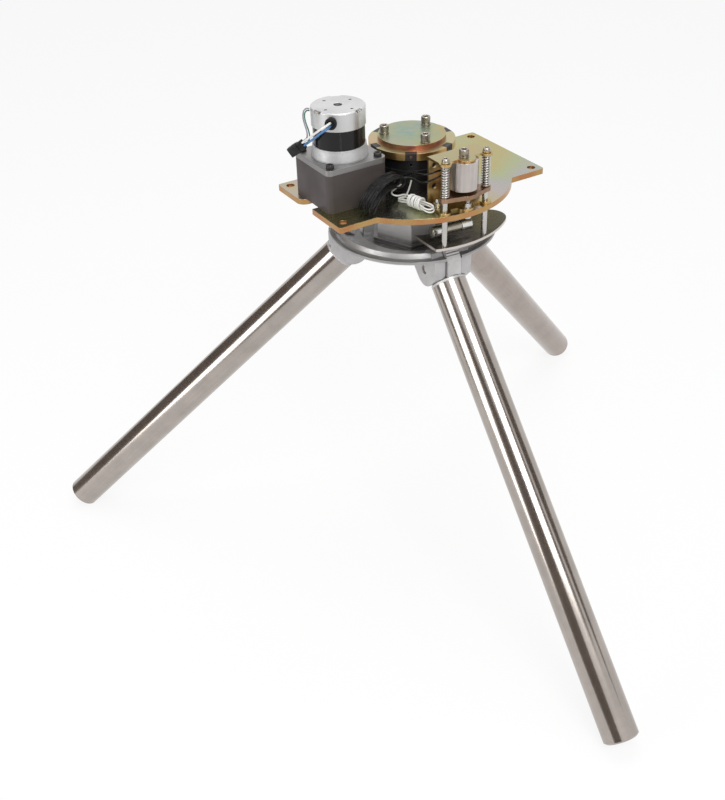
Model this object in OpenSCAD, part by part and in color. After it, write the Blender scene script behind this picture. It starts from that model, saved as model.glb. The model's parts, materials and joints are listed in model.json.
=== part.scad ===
// Core of a drop-arm tripod turnstile: a mounting plate with its geared motor above,
// a hub that turns below it on the main shaft, and three tube arms that fold at the hub.
// Z is the main shaft's axis, and z = 0 is the plate's upper face, which the motor stands on.

/* [Mounting plate] */
// Plate length, along X
plate_l = 258; // [220:1:320]
// Plate width without the rounded front, along Y
plate_w = 130; // [110:1:160]
// Plate thickness
plate_t = 6; // [5:0.5:12]
// Distance of the fixing holes from the plate's edges
hole_inset = 10; // [8:0.5:20]
// Diameter of the fixing holes
hole_d = 9; // [6:0.5:11]
// Radius of the plate's rounded front, about the main axis
front_r = 107; // [104:0.5:125]
// Corner radius of the plate
plate_corner_r = 3; // [1:0.5:6]
// Corner radius of the ear beside the gearbox slot
ear_r = 10; // [4:1:14]

/* [Gearbox and motor] */
// Gearbox axis, along X
gearbox_x = -87; // [-95:0.5:-80]
// Gearbox axis, along Y
gearbox_y = 2; // [-6:0.5:6]
// Side of the square gearbox
gearbox_side = 70; // [60:1:84]
// Height of the gearbox body
gearbox_h = 40.5; // [30:0.5:60]
// Thickness of the gearbox cover
cover_t = 5.7; // [4:0.1:8]
// Corner radius of the gearbox
gearbox_r = 6; // [3:0.5:10]
// Distance of the cover screws from the gearbox sides
cover_screw_inset = 7; // [6:0.5:10]
// Diameter of the cover screws
cover_screw_d = 5; // [4:0.5:6]
// Height of the cover screws' heads
cover_head_h = 3.2; // [2.5:0.1:6]
// Diameter of the gearbox output shaft
output_d = 14; // [10:1:16]
// Diameter of the output boss
output_boss_d = 22; // [18:1:24]
// Height of the motor adapter
adapter_h = 12.5; // [8:0.5:20]
// Diameter of the motor's stator band
stator_d = 53.2; // [44:0.2:60]
// Height of the stator band
stator_h = 20.2; // [14:0.2:40]
// Diameter of the motor's end cap
cap_d = 55.6; // [46:0.2:62]
// Height of the end cap
cap_h = 18.6; // [12:0.2:30]
// Diameter of the hole in the middle of the end cap
cap_bore_d = 9; // [5:0.5:14]
// Diameter of the lead grommet
grommet_d = 12; // [9:0.5:14]
// Direction of the grommet round the motor
grommet_turn = -135; // [-180:1:0]

/* [Drive gears] */
// Teeth on the drive gear
gear_teeth = 44; // [40:1:48]
// Teeth on the pinion
pinion_teeth = 14; // [13:1:17]
// Face width of both gears
gear_w = 8; // [5:0.5:9]
// Gap between the gears and the plate
gear_gap = 1.5; // [0.5:0.1:3]
// Share of the pitch left free between teeth
backlash = 0.05; // [0.03:0.01:0.1]

/* [Shaft stack] */
// Diameter of the main shaft
shaft_d = 30; // [24:1:36]
// Diameter of the clutch housing
housing_d = 82; // [70:1:88]
// Height of the clutch housing
housing_h = 36; // [28:0.5:44]
// Height of the housing's upper collar
collar_h = 11.5; // [8:0.5:14]
// Gap between the housing and the slotted ring
stack_gap = 0.5; // [0.3:0.1:2]
// Diameter of the slotted ring
ring_d = 92; // [86:1:110]
// Thickness of the slotted ring
ring_t = 7.5; // [5:0.5:12]
// Slots in the ring
ring_slots = 6; // [3:1:12]
// Width of each slot
slot_w = 12; // [8:0.5:16]
// Depth of each slot
slot_depth = 7; // [4:0.5:9]
// Diameter of the top disc
disc_d = 72; // [66:1:84]
// Thickness of the top disc
disc_t = 5; // [3:0.5:8]
// Radius of the circle of disc screws
disc_screw_r = 29; // [20:0.5:31]
// Diameter of the disc screws
disc_screw_d = 6; // [4:0.5:8]

/* [Hub] */
// Radius of the hub
hub_r = 92.5; // [88:0.5:110]
// Depth of the rim's raised lip below the plate's upper face
rim_drop = 51.5; // [49:0.5:58]
// Depth of the dish floor below the plate's upper face
floor_drop = 64; // [60:0.5:72]
// Thickness of the dish floor
floor_t = 6; // [4:0.5:8]
// Width of the six-sided boss across its flats
boss_flats = 74; // [60:1:80]
// Width of each arm lobe
lobe_w = 44; // [36:1:50]
// Radius of the lobe round the arm pin
lobe_r = 18.5; // [16:0.5:20]
// Width of the gap between a lobe's cheeks
cheek_gap = 18.4; // [14:0.2:22]
// Diameter of the arm pins
pin_d = 10; // [8:0.5:14]
// Depth of each pin end below its cheek
pin_sink = 1.5; // [0.5:0.5:4]

/* [Arms] */
// Angle of each arm from the main axis
arm_tilt = 45; // [40:0.5:50]
// Direction of the front arm round the main axis
arm_turn = -94.8; // [-130:0.1:-60]
// Depth below the plate's upper face of the point where the arm axes meet
apex_drop = 10.1; // [6:0.1:16]
// Distance from that point to the arm pin
pin_reach = 94; // [90:0.5:110]
// Distance from that point to the arm tip
tip_reach = 618; // [500:1:720]
// Arm tube diameter
tube_d = 38; // [32:0.5:40]
// Wall of the arm tube
tube_wall = 1.5; // [1:0.1:3]
// Length of the root's plug inside the tube
plug_l = 34; // [20:1:60]
// Thickness of the tube's end cap
end_cap_t = 3.5; // [2:0.5:8]
// Radius from the main axis to the root's outer face
root_face_r = 92.5; // [86:0.5:108]

/* [Lock levers] */
// Radius from the main axis to the lock shaft
lock_r = 83; // [76:0.5:88]
// Depth of the lock shaft below the plate's upper face
lock_drop = 25.6; // [24:0.1:26]
// Diameter of the lock shaft
lock_shaft_d = 8; // [6:0.5:9]
// Diameter of the barrel round the lock shaft
lock_barrel_d = 11; // [9:0.5:12]
// Length of the barrel
lock_barrel_l = 21; // [16:1:26]
// Diameter of the lock rollers
roller_d = 12; // [10:0.5:12]
// Length of each lock roller
roller_l = 12; // [8:0.5:14]
// Width of the lever
lever_w = 14; // [10:1:18]
// Thickness of the lever
lever_t = 7; // [5:0.5:9]

/* [Release unit] */
// Distance between the two guide rods
rod_span = 50; // [44:1:60]
// Distance of the guide rods from the main axis, along Y
rod_y = -97; // [-102:0.5:-92]
// Diameter of the guide rods
rod_d = 6; // [5:0.5:8]
// Width of the magnet bracket
bracket_w = 60; // [54:1:72]
// Height of the magnet bracket
bracket_h = 54.2; // [48:0.2:64]
// Thickness of the bracket's sheet
bracket_t = 2.5; // [1.5:0.5:4]
// Place of the bracket's back face, along Y
bracket_y = -73; // [-76:0.5:-68]
// Diameter of the holding magnet
magnet_d = 30; // [24:1:34]
// Height of the holding magnet
magnet_h = 30; // [24:0.5:36]
// Place of the magnet's axis, along Y
magnet_y = -93; // [-96:0.5:-90]
// Gap between the magnet and the armature plate when it hangs free
armature_gap = 3.8; // [2:0.1:6]
// Thickness of the armature plate
armature_t = 4.5; // [3:0.1:8]
// Diameter of the armature plate under the magnet
armature_d = 32; // [26:1:38]
// Diameter of the armature plate round each rod
armature_tab_d = 11; // [9:0.5:14]
// Depth of the crescent plate's upper face below the mounting plate's
crescent_drop = 36.1; // [34:0.1:40]
// Thickness of the crescent plate
crescent_t = 3; // [2:0.5:4]
// Outer radius of the crescent plate
crescent_r = 105; // [102:0.5:112]
// Width of the crescent's band
crescent_w = 36; // [28:1:40]
// Place of the crescent's straight end, along X
crescent_end_x = -36; // [-44:0.5:-30]
// Direction of the crescent's rounded end
crescent_turn = -50.8; // [-60:0.2:-40]
// Turns of each spring
spring_turns = 13; // [8:1:16]
// Wire diameter of each spring
spring_wire = 1.2; // [0.8:0.1:1.4]
// Room between each guide rod and the wire of the spring round it
spring_room = 0.5; // [0.3:0.05:1.4]

/* [Wires] */
// Diameter of the motor leads
lead_d = 2.4; // [1.5:0.1:3]
// Diameter of the sensor leads
sensor_d = 1.4; // [1:0.1:2]
// Diameter of the magnet leads
magnet_lead_d = 1.8; // [1:0.1:2.5]
// Diameter of the white wire in its hank
wire_d = 1.7; // [1.2:0.1:2]
// Loops in the white hank
wire_loops = 2; // [2:1:3]
// Turns of wire wrapped round the white hank
wrap_turns = 7; // [4:1:8]
// Diameter of the cable in the black hank
cable_d = 1.8; // [1.2:0.1:2.4]
// Loops in the black hank
cable_loops = 7; // [3:1:8]
// Length of the plug on the motor leads
plug_body_l = 18; // [14:0.5:30]
// Width of that plug
plug_body_w = 7.5; // [6.5:0.5:12]
// Height of that plug
plug_body_h = 10.5; // [8:0.5:14]

/* [Fits] */
// Radial clearance of a shaft that turns or slides in its hole
run_fit = 0.05; // [0.02:0.01:0.1]
// Gap between pieces of different groups that pass close by
pass_gap = 0.45; // [0.3:0.05:0.8]
// Radial clearance of a screw in its hole
screw_fit = 0.05; // [0.02:0.01:0.3]
// Radial clearance of a rod in the mounting plate
rod_pass = 0.5; // [0.3:0.1:1]

/* [Hidden] */
$fn = 64;
over = 1;
arm_turns = [arm_turn, arm_turn + 120, arm_turn + 240];
apex_z = -apex_drop;
stop_reach = pin_reach + lobe_r;
root_reach = stop_reach + pass_gap;
tube_reach = root_reach + 3;
cap_reach = tip_reach - end_cap_t;
tongue_w = cheek_gap - 1.6;
pin_l = lobe_w - 2 * pin_sink;
gearbox_top = gearbox_h;
cover_top = gearbox_top + cover_t;
stator_z = cover_top + adapter_h;
cap_z = stator_z + stator_h;
cap_top = cap_z + cap_h;
cover_screw_at = gearbox_side / 2 - cover_screw_inset;
gear_distance = norm([gearbox_x, gearbox_y]);
gear_module = 2 * gear_distance / (gear_teeth + pinion_teeth);
mesh_turn = atan2(gearbox_y, gearbox_x);
gear_z = -plate_t - gear_gap - gear_w;
output_rise = 26;
gearbox_slot_w = output_boss_d + 2;
housing_top = housing_h;
ring_z = housing_top + stack_gap;
disc_z = ring_z + ring_t;
disc_top = disc_z + disc_t;
underside_z = -floor_drop - floor_t;
nut_h = 12;
nut_d = 53;
bracket_top = bracket_h;
foot_top = bracket_t;
flange_under = bracket_top - bracket_t;
wall_front_y = bracket_y - bracket_t;
magnet_z = flange_under - magnet_h;
armature_top = magnet_z - armature_gap;
armature_z = armature_top - armature_t;
crescent_z = -crescent_drop - crescent_t;
crescent_end_r = crescent_w / 2 - 0.25;
rod_xs = [-rod_span / 2, rod_span / 2];
spring_d = rod_d + 2 * spring_room + spring_wire;
foot_bolts = [[0, rod_y - 4], [-bracket_w / 2 + 6, bracket_y - 10], [bracket_w / 2 - 6, bracket_y - 10]];
foot_bolt_d = 5;
zinc = [0.72, 0.66, 0.38];
steel = [0.76, 0.74, 0.72];
cast = [0.72, 0.72, 0.73];
black = [0.08, 0.08, 0.09];

// Routes of the loose wires, in millimetres, chosen along the way each one lies
white_lead_route = [
    [-109.3, -20.3, 89.7], [-113.6, -23.2, 89.8], [-118.1, -23.4, 88.3], [-121.2, -18.5, 84.2],
    [-122.1, -11, 78.9], [-122, -3.1, 73.7], [-122, 4.3, 68.8], [-122, 11.2, 64.2], [-123.3, 13.6, 62.1]
];
blue_lead_route = [
    [-109.3, -20.3, 86.6], [-113.7, -23.5, 86.6], [-118, -23.4, 84.8], [-120.7, -18.3, 80.4],
    [-121.3, -10.9, 75], [-121.3, -3.6, 70.2], [-121.2, 3.3, 65.6], [-120.8, 9.7, 61.6], [-122, 12.1, 59.3]
];
sensor_lead_a_route = [
    [-110.7, 18, 93.5], [-113.3, 19.5, 93.8], [-115.8, 20, 92.3], [-117.3, 19.8, 89], [-117.9, 19, 84.5],
    [-117.9, 16.9, 79.8], [-118, 13.9, 75.5], [-118.3, 11.7, 71], [-118.6, 12.1, 67], [-119.5, 14.2, 64.4],
    [-121, 16.2, 62.7]
];
sensor_lead_b_route = [
    [-109.2, 20.6, 90.5], [-111.6, 22, 90.6], [-113.6, 22.3, 88.9], [-114.6, 22, 85.4], [-114.8, 20.6, 81],
    [-114.9, 17.6, 76.8], [-115.4, 13.7, 73], [-116.2, 10.7, 69.2], [-116.7, 10.6, 65.3], [-117.8, 12.7, 61.9],
    [-119.7, 14.8, 59.9]
];
magnet_lead_a_way = [
    [-42.5, -33.6, 19.1], [-38.6, -34.1, 19.6], [-35.9, -37.3, 21.5], [-35, -42.5, 25], [-34.6, -49.5, 29],
    [-34.6, -58, 32.3], [-34.8, -66.5, 34.6], [-34, -74.5, 36.5], [-30, -79.5, 38.5], [-22.5, -81.8, 40.3],
    [-13.5, -86.3, 41.5]
];
magnet_lead_b_way = [
    [-40.4, -50.6, 27.9], [-38.2, -53.6, 27.4], [-37.2, -58.5, 27], [-36.7, -64.5, 27], [-35.9, -71, 27.6],
    [-34.2, -77.3, 29.6], [-29.5, -81.8, 32.5], [-22.5, -84.2, 35.3], [-14.3, -88.5, 37.5]
];
wire_end_a_way = [
    [-52, -46.2, 8.4], [-53, -42.8, 9.2], [-50.8, -39.4, 9.6], [-46.2, -36.4, 9.6], [-41, -33, 9.1],
    [-36, -29.6, 8.5], [-31.3, -26.5, 8]
];
wire_end_b_way = [[-39.5, -45.1, 2.6], [-36.4, -44.8, 5], [-34, -44.8, 9], [-32, -44.7, 14], [-30.2, -44.5, 19]];

// A point in an arm's upright plane: so far along the arm's axis, and so far out from it
function arm_point(along, off) =
    along * [sin(arm_tilt), -cos(arm_tilt)] + off * [cos(arm_tilt), sin(arm_tilt)];

pin_at = arm_point(pin_reach, 0);

// Height in an arm's upright plane, where zero is the point at which the arm axes meet
function arm_h(z) = z - apex_z;

// Height at which a line square to the arm, so far along it, reaches a radius
function arm_cut_h(along, r) = -(along - r * sin(arm_tilt)) / cos(arm_tilt);

function unit(v) = v / norm(v);
function last(list) = list[len(list) - 1];
function tangent(path, i) = unit(path[min(i + 1, len(path) - 1)] - path[max(i - 1, 0)]);
function square_to(v, t) = unit(v - (v * t) * t);

// Directions square to a path, each carried over from the one before without twist
function path_normals(path, start, i = 0) =
    let (n = square_to(start, tangent(path, i)))
    i == len(path) - 1 ? [n] : concat([n], path_normals(path, n, i + 1));

// Smallest distance between points of a path that are at least skip points apart
function least_distance(path, skip) =
    min([for (i = [0 : len(path) - 1 - skip], j = [i + skip : len(path) - 1]) norm(path[i] - path[j])]);

// Lengthens a path by a straight stretch at both ends
function with_ends(path, l) =
    concat(
        [path[0] - l * tangent(path, 0)],
        path,
        [last(path) + l * tangent(path, len(path) - 1)]
    );

// First two points of a wire that goes on from a path's end, or backwards from its start
function past_end(path, l) = [last(path), last(path) + l * tangent(path, len(path) - 1)];
function before_start(path, l) = [path[0], path[0] - l * tangent(path, 0)];

// One closed tube along a path
module tube(path, d, sides, start) {
    rings = len(path);
    normals = path_normals(path, start);
    points = [
        for (i = [0 : rings - 1])
            let (n = normals[i], b = cross(tangent(path, i), n))
            for (k = [0 : sides - 1])
                path[i] + d / 2 * (cos(360 * k / sides) * n + sin(360 * k / sides) * b)
    ];
    walls = [
        for (i = [0 : rings - 2], k = [0 : sides - 1])
            let (p = i * sides + k, q = i * sides + (k + 1) % sides)
            each [[p, p + sides, q + sides], [p, q + sides, q]]
    ];
    end = (rings - 1) * sides;
    near_end = [for (k = [1 : sides - 2]) [0, k, k + 1]];
    far_end = [for (k = [1 : sides - 2]) [end, end + k + 1, end + k]];
    polyhedron(points, concat(walls, near_end, far_end), convexity = 6);
}

// Cuts one outer corner of a flat shape to an arc; sx and sy point out of the corner
module round_off(x, y, sx, sy, r) {
    translate([x - sx * r, y - sy * r])
        difference() {
            translate([sx > 0 ? 0 : -r - over, sy > 0 ? 0 : -r - over])
                square(r + over);
            circle(r);
        }
}

module rounded_square(l, w, r) {
    square([l - 2 * r, w], center = true);
    square([l, w - 2 * r], center = true);
    for (x = [-1, 1], y = [-1, 1])
        translate([x * (l / 2 - r), y * (w / 2 - r)])
            circle(r);
}

// Socket-head screw with its washer, standing on z = 0 with the shank below
module socket_screw(d, shank, washer_t, head_h) {
    difference() {
        union() {
            translate([0, 0, -shank])
                cylinder(d = d, h = shank + washer_t);
            cylinder(d = 1.75 * d, h = washer_t);
            translate([0, 0, washer_t])
                cylinder(d = 1.6 * d, h = head_h);
        }
        translate([0, 0, washer_t + head_h / 2])
            cylinder(d = 0.95 * d, h = head_h, $fn = 6);
    }
}

// Stands a flat outline upright in the plane of the arm that points along turn
module in_arm_plane(turn, w) {
    translate([0, 0, apex_z])
        rotate([90, 0, turn])
            linear_extrude(w, center = true)
                children();
}

// Places a shape that stands along Z so that it starts at the apex and follows the arm
module along_arm(turn, reach) {
    translate([0, 0, apex_z])
        rotate([0, 0, turn])
            rotate([0, 180 - arm_tilt, 0])
                translate([0, 0, reach])
                    children();
}

// A cylinder across an arm's plane, at a radius and a height of that plane
module cross_rod(turn, at, d, l) {
    translate([0, 0, apex_z])
        rotate([90, 0, turn])
            translate([at[0], at[1], 0])
                cylinder(d = d, h = l, center = true);
}

// Mounting plate with its fixing holes, gearbox slot and screw holes
module plate_outline() {
    difference() {
        union() {
            square([plate_l, plate_w], center = true);
            circle(front_r, $fn = 128);
        }
        translate([0, plate_w / 2 + front_r])
            square([2 * front_r, 2 * front_r], center = true);
        for (x = [-1, 1], y = [-1, 1])
            round_off(x * plate_l / 2, y * plate_w / 2, x, y, plate_corner_r);
        for (x = [-1, 1], y = [-1, 1])
            translate([x * (plate_l / 2 - hole_inset), y * (plate_w / 2 - hole_inset)])
                circle(d = hole_d);
        translate([gearbox_x, gearbox_y])
            circle(d = gearbox_slot_w);
        translate([-plate_l / 2 - over, gearbox_y - gearbox_slot_w / 2])
            square([plate_l / 2 + over + gearbox_x, gearbox_slot_w]);
        round_off(-plate_l / 2, gearbox_y + gearbox_slot_w / 2, -1, -1, ear_r);
        circle(d = shaft_d + 6);
        for (x = rod_xs)
            translate([x, rod_y])
                circle(d = rod_d + 2 * rod_pass);
        for (p = foot_bolts)
            translate(p)
                circle(d = foot_bolt_d + 2 * screw_fit);
    }
}

module plate_screw_places() {
    for (x = [-1, 1], y = [-1, 1])
        translate([gearbox_x + x * cover_screw_at, gearbox_y + y * cover_screw_at, -plate_t])
            children();
    for (turn = arm_turns)
        rotate([0, 0, turn])
            translate([housing_d / 2 - 10, 0, -plate_t])
                children();
}

// Countersunk screw, flush with z = 0 and pointing up; grow widens it into its own hole
module countersunk_screw(grow) {
    cylinder(d1 = 10 + 2 * grow, d2 = 5 + 2 * grow, h = 2.5);
    cylinder(d = 5 + 2 * grow, h = plate_t + 10 + grow);
}

module plate() {
    color(zinc)
        difference() {
            translate([0, 0, -plate_t])
                linear_extrude(plate_t)
                    plate_outline();
            plate_screw_places()
                countersunk_screw(screw_fit);
        }
}

module plate_screws() {
    color(steel)
        plate_screw_places()
            countersunk_screw(0);
}

module gearbox_body() {
    color([0.27, 0.26, 0.27])
        difference() {
            union() {
                translate([gearbox_x, gearbox_y, 0])
                    linear_extrude(gearbox_h)
                        rounded_square(gearbox_side, gearbox_side, gearbox_r);
                translate([gearbox_x, gearbox_y, 1 - plate_t])
                    cylinder(d = output_boss_d, h = plate_t);
            }
            translate([gearbox_x, gearbox_y, -plate_t])
                cylinder(d = output_d + 2 * run_fit, h = plate_t + output_rise + pass_gap);
            plate_screw_places()
                countersunk_screw(screw_fit);
            cover_screw_places()
                translate([0, 0, -cover_t - 9])
                    cylinder(d = cover_screw_d + 2 * screw_fit, h = 9 + over);
        }
}

module cover_screw_places() {
    for (x = [-1, 1], y = [-1, 1])
        translate([gearbox_x + x * cover_screw_at, gearbox_y + y * cover_screw_at, cover_top])
            children();
}

module gearbox_cover() {
    color([0.70, 0.69, 0.68])
        difference() {
            translate([gearbox_x, gearbox_y, gearbox_top])
                linear_extrude(cover_t)
                    rounded_square(gearbox_side, gearbox_side, gearbox_r);
            cover_screw_places()
                translate([0, 0, -cover_t - over])
                    cylinder(d = cover_screw_d + 2 * screw_fit, h = cover_t + 2 * over);
        }
}

module cover_screws() {
    color(black)
        cover_screw_places()
            socket_screw(cover_screw_d, cover_t + 8, 0.8, cover_head_h);
}

module motor_adapter() {
    flare = 1.4;
    color([0.74, 0.74, 0.75])
        translate([gearbox_x, gearbox_y, cover_top])
            rotate_extrude()
                polygon([
                    [0, 0], [cap_d / 2 + flare, 0], [cap_d / 2 + flare, 1.5],
                    [cap_d / 2, adapter_h - 2], [cap_d / 2, adapter_h], [0, adapter_h]
                ]);
}

module motor_stator() {
    seam = 1;
    color(black)
        translate([gearbox_x, gearbox_y, stator_z])
            difference() {
                cylinder(d = stator_d, h = stator_h);
                rotate([0, 0, -117])
                    translate([stator_d / 2, 0, stator_h / 2])
                        cube([seam, seam, stator_h + 2 * over], center = true);
            }
}

// Direction and height of the grommet on the end cap's side
module at_grommet() {
    translate([gearbox_x, gearbox_y, cap_z + cap_h / 2])
        rotate([0, 0, grommet_turn])
            translate([cap_d / 2, 0, 0])
                rotate([0, 90, 0])
                    children();
}

module motor_cap() {
    bevel = 1;
    notch = [3, 5, 2.5];
    color([0.80, 0.80, 0.80])
        difference() {
            translate([gearbox_x, gearbox_y, cap_z])
                rotate_extrude()
                    polygon([
                        [0, 0], [cap_d / 2, 0], [cap_d / 2, cap_h - bevel],
                        [cap_d / 2 - bevel, cap_h], [0, cap_h]
                    ]);
            translate([gearbox_x, gearbox_y, cap_top - 8]) {
                cylinder(d = cap_bore_d, h = 8 + over);
                for (k = [0 : 3])
                    rotate([0, 0, 18 + 90 * k])
                        translate([cap_d / 3, 0, 2])
                            cylinder(d = 3.4, h = 6 + over);
                for (turn = [65, 190, 290])
                    rotate([0, 0, turn])
                        translate([cap_d / 2, 0, 8])
                            cube(2 * notch, center = true);
            }
            at_grommet()
                translate([0, 0, -4])
                    cylinder(d = grommet_d - 3, h = 4 + over);
        }
}

// Rubber ring in the end cap's side, with a hollow that the leads come out of
module lead_grommet() {
    color(black)
        at_grommet()
            difference() {
                union() {
                    translate([0, 0, -4])
                        cylinder(d = grommet_d - 3, h = 4.5);
                    translate([0, 0, 0.3])
                        cylinder(d = grommet_d, h = 2.2);
                }
                translate([0, 0, 0.5])
                    cylinder(d = grommet_d - 4, h = 4);
            }
}

// Plug that hangs on the ends of the motor and sensor leads, beside the gearbox cover
plug_turn = 132;
plug_droop = 35;
plug_face_at = [-121.6, 14.1, 60.3];

module lead_plug() {
    lip = 1.2;
    color(black)
        translate(plug_face_at)
            rotate([0, plug_droop, plug_turn])
                translate([plug_body_l / 2, 0, 0])
                    difference() {
                        cube([plug_body_l, plug_body_w, plug_body_h], center = true);
                        translate([plug_body_l / 2, 0, 0])
                            cube([12, plug_body_w - 2 * lip, plug_body_h - 2 * lip], center = true);
                    }
}

module white_lead() {
    color("white")
        tube(white_lead_route, lead_d, 8, [0, 0, 1]);
}

module blue_lead() {
    color([0.25, 0.45, 0.75])
        tube(blue_lead_route, lead_d, 8, [0, 0, 1]);
}

module sensor_lead_a() {
    color([0.45, 0.42, 0.48])
        tube(sensor_lead_a_route, sensor_d, 8, [0, 0, 1]);
}

module sensor_lead_b() {
    color([0.15, 0.32, 0.25])
        tube(sensor_lead_b_route, sensor_d, 8, [0, 0, 1]);
}

// Black housing of the clutch and main bearing, with a groove under its upper collar
module clutch_housing() {
    groove = 0.8;
    collar_z = housing_h - collar_h;
    color(black)
        difference() {
            rotate_extrude($fn = 96)
                polygon([
                    [shaft_d / 2 + run_fit, 0], [housing_d / 2, 0], [housing_d / 2, collar_z - groove],
                    [housing_d / 2 - groove, collar_z - groove], [housing_d / 2 - groove, collar_z],
                    [housing_d / 2 + 0.3, collar_z], [housing_d / 2 + 0.3, housing_h],
                    [shaft_d / 2 + run_fit, housing_h]
                ]);
            rotate([0, 0, arm_turn - 30])
                translate([housing_d / 2 - 6, 0, housing_h - collar_h / 2])
                    rotate([0, 90, 0])
                        cylinder(d = 3, h = 6 + over);
            plate_screw_places()
                countersunk_screw(screw_fit);
        }
}

// Outline shared by the bracket's top flange and its foot
module bracket_flange() {
    tab_r = 6.5;
    middle_r = 9.5;
    difference() {
        union() {
            translate([-bracket_w / 2, rod_y])
                square([bracket_w, bracket_y - rod_y]);
            for (x = rod_xs)
                translate([x, rod_y])
                    circle(tab_r);
            translate([0, rod_y])
                circle(middle_r);
        }
        for (x = rod_xs)
            translate([x, rod_y])
                circle(d = rod_d + 2 * run_fit);
    }
}

module bracket() {
    wire_hole_d = 6;
    screw_d = 6;
    color(zinc)
        difference() {
            union() {
                linear_extrude(bracket_t)
                    bracket_flange();
                translate([0, 0, flange_under])
                    linear_extrude(bracket_t)
                        bracket_flange();
                translate([-bracket_w / 2, wall_front_y, 0])
                    cube([bracket_w, bracket_t, bracket_h]);
            }
            for (p = foot_bolts)
                translate([p[0], p[1], -over])
                    cylinder(d = foot_bolt_d + 2 * screw_fit, h = bracket_t + 2 * over);
            translate([0, magnet_y, flange_under - over])
                cylinder(d = screw_d + 2 * screw_fit, h = bracket_t + 2 * over);
            for (h = [22, 44.4])
                translate([-bracket_w / 2 + 7, wall_front_y - over, h])
                    rotate([-90, 0, 0])
                        cylinder(d = wire_hole_d, h = bracket_t + 2 * over);
        }
}

// Bolts that come up through the plate, each with its nut on the bracket's foot
module bracket_bolts() {
    head_h = 3.4;
    nut_h = 5;
    color(steel)
        for (p = foot_bolts)
            translate([p[0], p[1], -plate_t]) {
                translate([0, 0, -head_h])
                    cylinder(d = 1.7 * foot_bolt_d, h = head_h);
                cylinder(d = foot_bolt_d, h = plate_t + foot_top + nut_h + 3.5);
                translate([0, 0, plate_t + foot_top])
                    cylinder(d = 1.8 * foot_bolt_d, h = nut_h, $fn = 6);
            }
}

module magnet() {
    color(steel)
        translate([0, magnet_y, magnet_z])
            difference() {
                cylinder(d = magnet_d, h = magnet_h);
                translate([0, 0, magnet_h - 12])
                    cylinder(d = 6 + 2 * screw_fit, h = 12 + over);
            }
}

module magnet_screw() {
    color([0.62, 0.58, 0.52])
        translate([0, magnet_y, bracket_top])
            socket_screw(6, bracket_t + 10, 1.6, 6);
}

// A point of a hank's loop, counted in 24 steps: round ends, and runs pinched in the middle
function hank_point(step, long_r, end_r, pinch) =
    let (
        straight = long_r - end_r,
        side = step < 12 ? 1 : -1,
        k = step % 12,
        a = 22.5 * k - 90,
        t = (k - 8) / 4
    )
    k < 8
        ? side * [straight + end_r * cos(a), end_r * sin(a)]
        : side * [straight * (1 - 2 * t), end_r - pinch * pow(sin(180 * t), 2)];

// Loops of a hank from one step to another, a pitch apart, whose ends hang lower than its middle;
// loose makes some loops shorter and flatter than others
function hank_points(from, to, long_r, end_r, pinch, pitch, sag, loose) = [
    for (i = [from : to])
        let (
            r = long_r - loose * (1 - sin(5.4 * i)),
            p = hank_point(i % 24, r, end_r, pinch),
            arch = sag + loose * sin(4.1 * i + 40)
        )
        [p[0], p[1], pitch * i / 24, -arch * pow(p[0] / long_r, 2)]
];

// Carries a path into place: lifted by tilt about Y, turned about Z, then moved
function placed(path, tilt, turn, at) = [
    for (p = path)
        let (x = p[0] * cos(tilt) - p[2] * sin(tilt), z = p[0] * sin(tilt) + p[2] * cos(tilt))
        at + [x * cos(turn) - p[1] * sin(turn), x * sin(turn) + p[1] * cos(turn), z]
];

wire_r = 23;
wire_end_r = 4.6;
wire_pinch = 2.6;
wire_sag = 2.2;
wire_pitch = wire_d + 0.5;
wrap_r = norm([wire_end_r - 0.7 * wire_pinch, wire_loops * wire_pitch / 2 + 0.2]) + wire_d + 0.3;
wire_at = [-41, -69, wire_d / 2 + 0.3 + wrap_r];
wire_turn = 103;
wire_hank_path = placed(
    with_ends(
        [
            for (p = hank_points(4, 24 * wire_loops + 4, wire_r, wire_end_r, wire_pinch, wire_pitch, wire_sag, 0.5))
                [p[0], p[1], p[2] + p[3]]
        ],
        wire_d
    ),
    0, wire_turn, wire_at - [0, 0, (wire_loops / 2 + 1 / 6) * wire_pitch]
);
echo(str("wire hank least gap ", least_distance(wire_hank_path, 12) - wire_d));

module wire_hank() {
    color("white")
        tube(wire_hank_path, wire_d, 6, [0, 0, 1]);
}

// Wire wound round the middle of the white hank
wrap_pitch = wire_d + 0.8;
wire_wrap_points = [
    for (i = [0 : 24 * wrap_turns])
        [wrap_pitch * (i / 24 - wrap_turns / 2), wrap_r * sin(15 * i), -wrap_r * cos(15 * i)]
];
wire_wrap_path = placed(wire_wrap_points, 0, wire_turn, wire_at);
echo(str("wire wrap least gap ", least_distance(wire_wrap_path, 12) - wire_d));

module wire_wrap() {
    color([0.92, 0.90, 0.88])
        tube(wire_wrap_path, wire_d, 6, [0, 0, 1]);
}

module wire_end_a() {
    color("white")
        tube(concat(past_end(wire_hank_path, wire_d), wire_end_a_way), wire_d, 8, [0, 0, 1]);
}

module wire_end_b() {
    color("white")
        tube(concat(before_start(wire_hank_path, wire_d), wire_end_b_way), wire_d, 8, [0, 0, 1]);
}

// Black cable folded into a loose hank that arches up beside the clutch housing
cable_r = 29;
cable_end_r = 5.5;
cable_pitch = cable_d + 0.6;
cable_arch = 12;
cable_flat_path = placed(
    with_ends(
        [
            for (p = hank_points(8, 24 * cable_loops, cable_r, cable_end_r, 0.6, cable_pitch, cable_arch, 1.8))
                [p[0], p[2], p[1] + p[3]]
        ],
        cable_d
    ),
    18, 14, [-68, -57, 0]
);
cable_lift = cable_d / 2 + 0.3 - min([for (p = cable_flat_path) p[2]]);
cable_hank_path = [for (p = cable_flat_path) p + [0, 0, cable_lift]];
echo(str("cable hank least gap ", least_distance(cable_hank_path, 12) - cable_d));

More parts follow.
